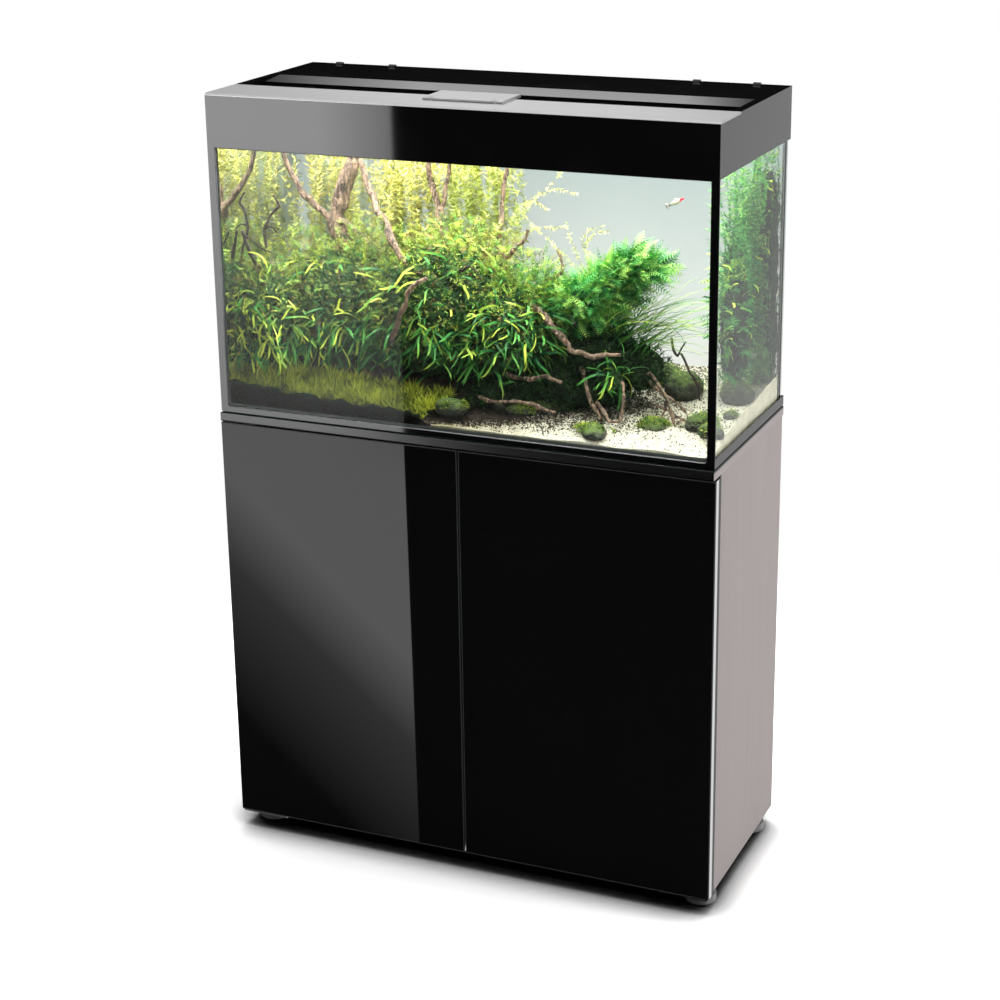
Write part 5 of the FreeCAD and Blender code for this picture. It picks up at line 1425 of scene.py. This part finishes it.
class AQUARIUM_OT_water(bpy.types.Operator):
    """Fill the tank up to its level with a still surface"""
    bl_idname = "aquarium.water"
    bl_label = "Water"

    def execute(self, context):
        middle = (0, (ROOM_LOW.y + ROOM_HIGH.y) / 2, water_line())
        reach = (2 * (ROOM_HALF - GLASS_GAP), ROOM_DEPTH - 2 * GLASS_GAP, 1)
        skin = add_shape(bpy.ops.mesh.primitive_grid_add, placed(middle, reach), x_subdivisions=120,
                         y_subdivisions=50, size=1)
        for vertex in skin.data.vertices:
            vertex.co.z += 0.0006 * noise_at(vertex.co.x, vertex.co.y, 22, 2)
        material, tree, shader = blank("Water surface")
        where = place_of(tree)
        tone = spread(tree, cloud(tree, where, 12.0), 0.3, 0.7)
        plug(tree, shader, {
            "Base Color": blend_colours(tree, tone, (0.90, 0.98, 0.96, 1), WATER_TINT), "Roughness": 0.0,
            "IOR": 1.33, "Transmission Weight": 1.0, "Normal": bumped(tree, cloud(tree, where, 30.0), 0.15, 0.002)})
        show_glass(tree, shader.outputs[0], WATER_TINT)
        dress(skin, "water_surface", material, "clear_glass")
        return {"FINISHED"}


def fish_finish():
    """Silver body with a red head and a dark barred tail, by the fish's own length."""
    material = moulded("Small fish", BLACK[:3], 0.28, dust=0.0, smudge=0.1, grain=0.4, Metallic=0.25)
    tree = material.node_tree
    shade = add_node(tree, "ValToRGB", {"Fac": stored(tree, "along")})
    elements = shade.color_ramp.elements
    while len(elements) < len(FISH_BANDS):
        elements.new(0.5)
    for element, (position, colour) in zip(elements, FISH_BANDS):
        element.position, element.color = position, colour
    plug(tree, tree.nodes["Principled BSDF"], {"Base Color": shade.outputs["Color"]})
    return material


class AQUARIUM_OT_fish(bpy.types.Operator):
    """Model the one small fish"""
    bl_idname = "aquarium.fish"
    bl_label = "Fish"

    def execute(self, context):
        fish = add_shape(bpy.ops.mesh.primitive_uv_sphere_add, segments=16, ring_count=12, radius=0.5,
                         rotation=(0, math.radians(90), 0))
        apply_all(fish)
        edit = begin_edit(fish)
        for vertex in edit.verts:
            x = vertex.co.x + 0.5
            slim = 0.16 + 0.84 * math.sin(math.pi * min(1.0, x * 1.08)) ** 0.8 if x < 0.92 else 0.9
            vertex.co.y *= 0.15 * slim
            vertex.co.z *= 0.30 * slim
        for face in edit.faces:
            face.select = face.calc_center_median().x < -0.455
        draw_out(-0.17, 0, 0)                                # the tail
        bpy.ops.transform.resize(value=(1.0, 0.2, 6.5))
        for face in edit.faces:
            middle = face.calc_center_median()
            face.select = 0.0 < middle.x < 0.14 and middle.z > 0.10
        draw_out(-0.07, 0, 0.10)                             # the back fin
        bpy.ops.transform.resize(value=(0.55, 0.2, 1.0))
        end_edit()
        reach = [vertex.co.x for vertex in fish.data.vertices]
        share = [(x - min(reach)) / (max(reach) - min(reach)) for x in reach]
        fish.data.attributes.new("along", "FLOAT", "POINT").data.foreach_set("value", share)
        fish.data.transform(Matrix.Translation(place(0.76, 0.35, 0.345)) @ Matrix.Rotation(math.radians(12), 4, "Z")
                            @ Matrix.Rotation(math.radians(-28), 4, "Y")
                            @ Matrix.Scale(context.scene.aquarium_sizes.fish_length, 4))
        bpy.ops.object.shade_smooth()
        dress(fish, "small_fish", fish_finish(), "satin_metal")
        return {"FINISHED"}


# ---------------------------------------------------------------- studio

CAMERA_PLACE = (1.2941, -2.9639, 1.6988)
CAMERA_TURN = (0.315, -0.413, -0.014)        # tilt down, turn to the right, roll, in radians
CAMERA_LENS = 78.6                           # mm on a 36 mm sensor
CAMERA_SHIFT = -0.05
CONTACT = 0.075                              # reach of the dark contact shadow, in metres
FLOOR_LIFT = 1.30                            # added to the floor for the eye alone, so that it reads white
WORLD_LIGHT = 0.30


def card(name, centre, width, height, turn, fill):
    """Studio card that only gloss sees: a panel that stands at its centre and faces the object."""
    panel = add_shape(bpy.ops.mesh.primitive_grid_add,
                      placed(centre, (width, height, 1), Euler(turn).to_matrix().to_4x4()),
                      x_subdivisions=4, y_subdivisions=4, size=1)
    panel.name = name
    material, tree, shader = blank(name)
    tree.nodes.remove(shader)
    clear = add_node(tree, "BsdfTransparent").outputs[0]
    show(tree, one_of(tree, light_path(tree, "Is Glossy Ray"), clear, glow(tree, WHITE, fill(tree))))
    panel.data.materials.append(material)
    panel.visible_camera = panel.visible_diffuse = panel.visible_shadow = panel.visible_transmission = False


def lamp(name, spot, target, width, height, power):
    """Soft box, unseen itself, that lights the object from spot towards target."""
    data = bpy.data.lights.new(name, "AREA")
    data.shape, data.size, data.size_y, data.energy = "RECTANGLE", width, height, power
    made = set_up(name, data)
    made.location = spot
    made.rotation_euler = (Vector(target) - Vector(spot)).to_track_quat("-Z", "Y").to_euler()
    made.visible_camera = made.visible_glossy = False


def floor_finish():
    """Plain pale floor: white to the eye; it keeps the shadow, and a painted contact shadow darkens it near the
    object.
    """
    material, tree, shader = blank("Pale floor")
    where = place_of(tree)
    # Painted contact shadow: the floor's colour goes dark where ambient occlusion finds the object near.
    near = add_node(tree, "AmbientOcclusion", {"Distance": CONTACT}, samples=12).outputs["AO"]
    open_air = spread(tree, near, 0.42, 0.90)
    pale = blend_colours(tree, spread(tree, cloud(tree, where, 3.0, 3.0), 0.3, 0.7), grey(0.80), grey(0.82))
    plug(tree, shader, {"Base Color": blend_colours(tree, open_air, grey(0.004), pale), "Roughness": 0.9,
                        "Specular IOR Level": 0.0})
    white = add_node(tree, "BsdfDiffuse", {"Color": blend_colours(tree, open_air, BLACK, grey(FLOOR_LIFT))})
    lifted = add_node(tree, "AddShader", {0: shader.outputs[0], 1: white.outputs[0]}).outputs[0]
    eye = light_path(tree, "Is Camera Ray")
    seen = one_of(tree, eye, shader.outputs[0], lifted)
    reach = add_node(tree, "VectorMath", {0: where}, operation="LENGTH").outputs["Value"]
    away = work_out(tree, "MULTIPLY", spread(tree, reach, 0.75, 1.5), eye)
    show(tree, one_of(tree, away, seen, glow(tree, WHITE, 1.0)))
    return material


def studio_world():
    """White to the eye and through glass, soft grey for light, and for gloss dark in front and pale behind."""
    world = bpy.data.worlds.new("Studio")
    world.use_nodes = True
    bpy.context.scene.world = world
    tree = world.node_tree
    split = axes_of(tree, add_node(tree, "TexCoord").outputs["Generated"])
    beside = spread(tree, work_out(tree, "ADD", split["X"], split["Y"]), 0.0, 0.5, 0.0, 0.76)
    low = work_out(tree, "MULTIPLY", spread(tree, split["Z"], -0.02, -0.08), beside)
    mirror = work_out(tree, "ADD", low, spread(tree, split["Z"], 0.5, 0.8, 0.0, 0.9))
    through = work_out(tree, "MAXIMUM", light_path(tree, "Is Camera Ray"), light_path(tree, "Is Transmission Ray"))
    first = spread(tree, light_path(tree, "Diffuse Depth"), 0.0, 1.0, 1.0, 0.0)
    above = spread(tree, split["Z"], 0.25, 0.65, 0.0, WORLD_LIGHT)
    soft = work_out(tree, "MAXIMUM", above, work_out(tree, "MULTIPLY", through, first))
    plug(tree, tree.nodes["Background"],
         {"Color": WHITE, "Strength": blend_numbers(tree, light_path(tree, "Is Glossy Ray"), soft, mirror)})


def fade_down(tree):
    """Strength of the standing card: brightest at the top, gone at its lower left."""
    split = axes_of(tree)
    lean = work_out(tree, "MULTIPLY_ADD", split["X"], 0.844, split["Z"])
    both = spread(tree, lean, -0.355, -0.178, 0.0, 3.25)
    for more in (spread(tree, lean, -0.66, -0.355, 0.03, 1.32), spread(tree, split["Z"], 0.55, 1.05, 0.0, 2.0)):
        both = work_out(tree, "ADD", both, more)
    lost = work_out(tree, "MULTIPLY", spread(tree, split["X"], -0.335, -0.48, 0.48, 0.0),
                    spread(tree, split["Z"], 0.45, 0.75))
    return work_out(tree, "MULTIPLY", both, work_out(tree, "SUBTRACT", 1.0, lost))


def fade_ends(tree):
    """Strength of the card behind: even, and soft at both ends."""
    across = axes_of(tree)["X"]
    return work_out(tree, "MULTIPLY", spread(tree, across, -2.2, -1.6), spread(tree, across, -0.5, -0.75))


class AQUARIUM_OT_studio(bpy.types.Operator):
    """Set up the pale floor, the soft boxes and the camera"""
    bl_idname = "aquarium.studio"
    bl_label = "Studio"

    def execute(self, context):
        scene = context.scene
        scene.view_settings.view_transform = "Standard"
        floor = add_shape(bpy.ops.mesh.primitive_grid_add, x_subdivisions=8, y_subdivisions=8, size=40)
        floor.name = "floor"
        floor.data.materials.append(floor_finish())
        floor.visible_glossy = False
        studio_world()
        lamp("key_box", (2.4, -2.2, 2.8), (0.2, 0, 0.6), 1.8, 1.8, 10)
        lamp("side_box", (3.4, 0.9, 1.5), (0.4, 0, 0.5), 1.6, 2.2, 39)
        lamp("top_box", (0.0, 0.2, 3.6), (0, 0, 1.2), 2.8, 2.2, 90)
        lamp("hood_box", (0.0, 0.0, HOOD_UNDER + 0.012), (0, 0, 0.7), 0.74, 0.26, 8.0)
        card("card_left", (-0.89, -0.67, 0.10), 1.12, 2.30, (math.pi / 2, -0.0113, 0), fade_down)
        card("card_back", (-1.35, 3.0, 2.62), 1.7, 1.35, (math.pi / 2, 0, 0), fade_ends)
        data = bpy.data.cameras.new("camera")
        data.lens, data.shift_y = CAMERA_LENS, CAMERA_SHIFT
        data.clip_start, data.clip_end = 0.05, 60.0
        scene.camera = set_up("camera", data)
        tilt, turn, roll = CAMERA_TURN
        scene.camera.matrix_world = (
            Matrix.Translation(CAMERA_PLACE) @ Matrix.Rotation(-turn, 4, "Z")
            @ Matrix.Rotation(math.pi / 2 - tilt, 4, "X") @ Matrix.Rotation(roll, 4, "Z"))
        return {"FINISHED"}


# ---------------------------------------------------------------- add-on

OPERATORS = (AQUARIUM_OT_finishes, AQUARIUM_OT_ground, AQUARIUM_OT_stones, AQUARIUM_OT_driftwood,
             AQUARIUM_OT_strap_plants, AQUARIUM_OT_fern_mound, AQUARIUM_OT_stem_plants,
             AQUARIUM_OT_corner_plants, AQUARIUM_OT_carpet, AQUARIUM_OT_water, AQUARIUM_OT_fish, AQUARIUM_OT_studio)


class AQUARIUM_PT_panel(bpy.types.Panel):
    """Settings and steps of the aquarium"""
    bl_idname = "AQUARIUM_PT_panel"
    bl_label = "Aquarium on stand"
    bl_space_type = "VIEW_3D"
    bl_region_type = "UI"
    bl_category = "Aquarium"

    def draw(self, context):
        for holder in (context.scene.aquarium_sizes, context.scene.aquarium_colours):
            box = self.layout.box()
            for name in holder.__annotations__:
                box.prop(holder, name)
        for step in OPERATORS:
            self.layout.operator(step.bl_idname)


CLASSES = (AquariumSizes, AquariumColours, *OPERATORS, AQUARIUM_PT_panel)


def register():
    """Adds the settings, steps and panel."""
    for entry in CLASSES:
        bpy.utils.register_class(entry)
    bpy.types.Scene.aquarium_sizes = bpy.props.PointerProperty(type=AquariumSizes)
    bpy.types.Scene.aquarium_colours = bpy.props.PointerProperty(type=AquariumColours)


def unregister():
    """Takes them away again."""
    del bpy.types.Scene.aquarium_colours
    del bpy.types.Scene.aquarium_sizes
    for entry in reversed(CLASSES):
        bpy.utils.unregister_class(entry)


def main():
    """Dresses the model."""
    register()
    for step in OPERATORS:
        family, name = step.bl_idname.split(".")
        getattr(getattr(bpy.ops, family), name)()


if __name__ == "__main__":
    main()
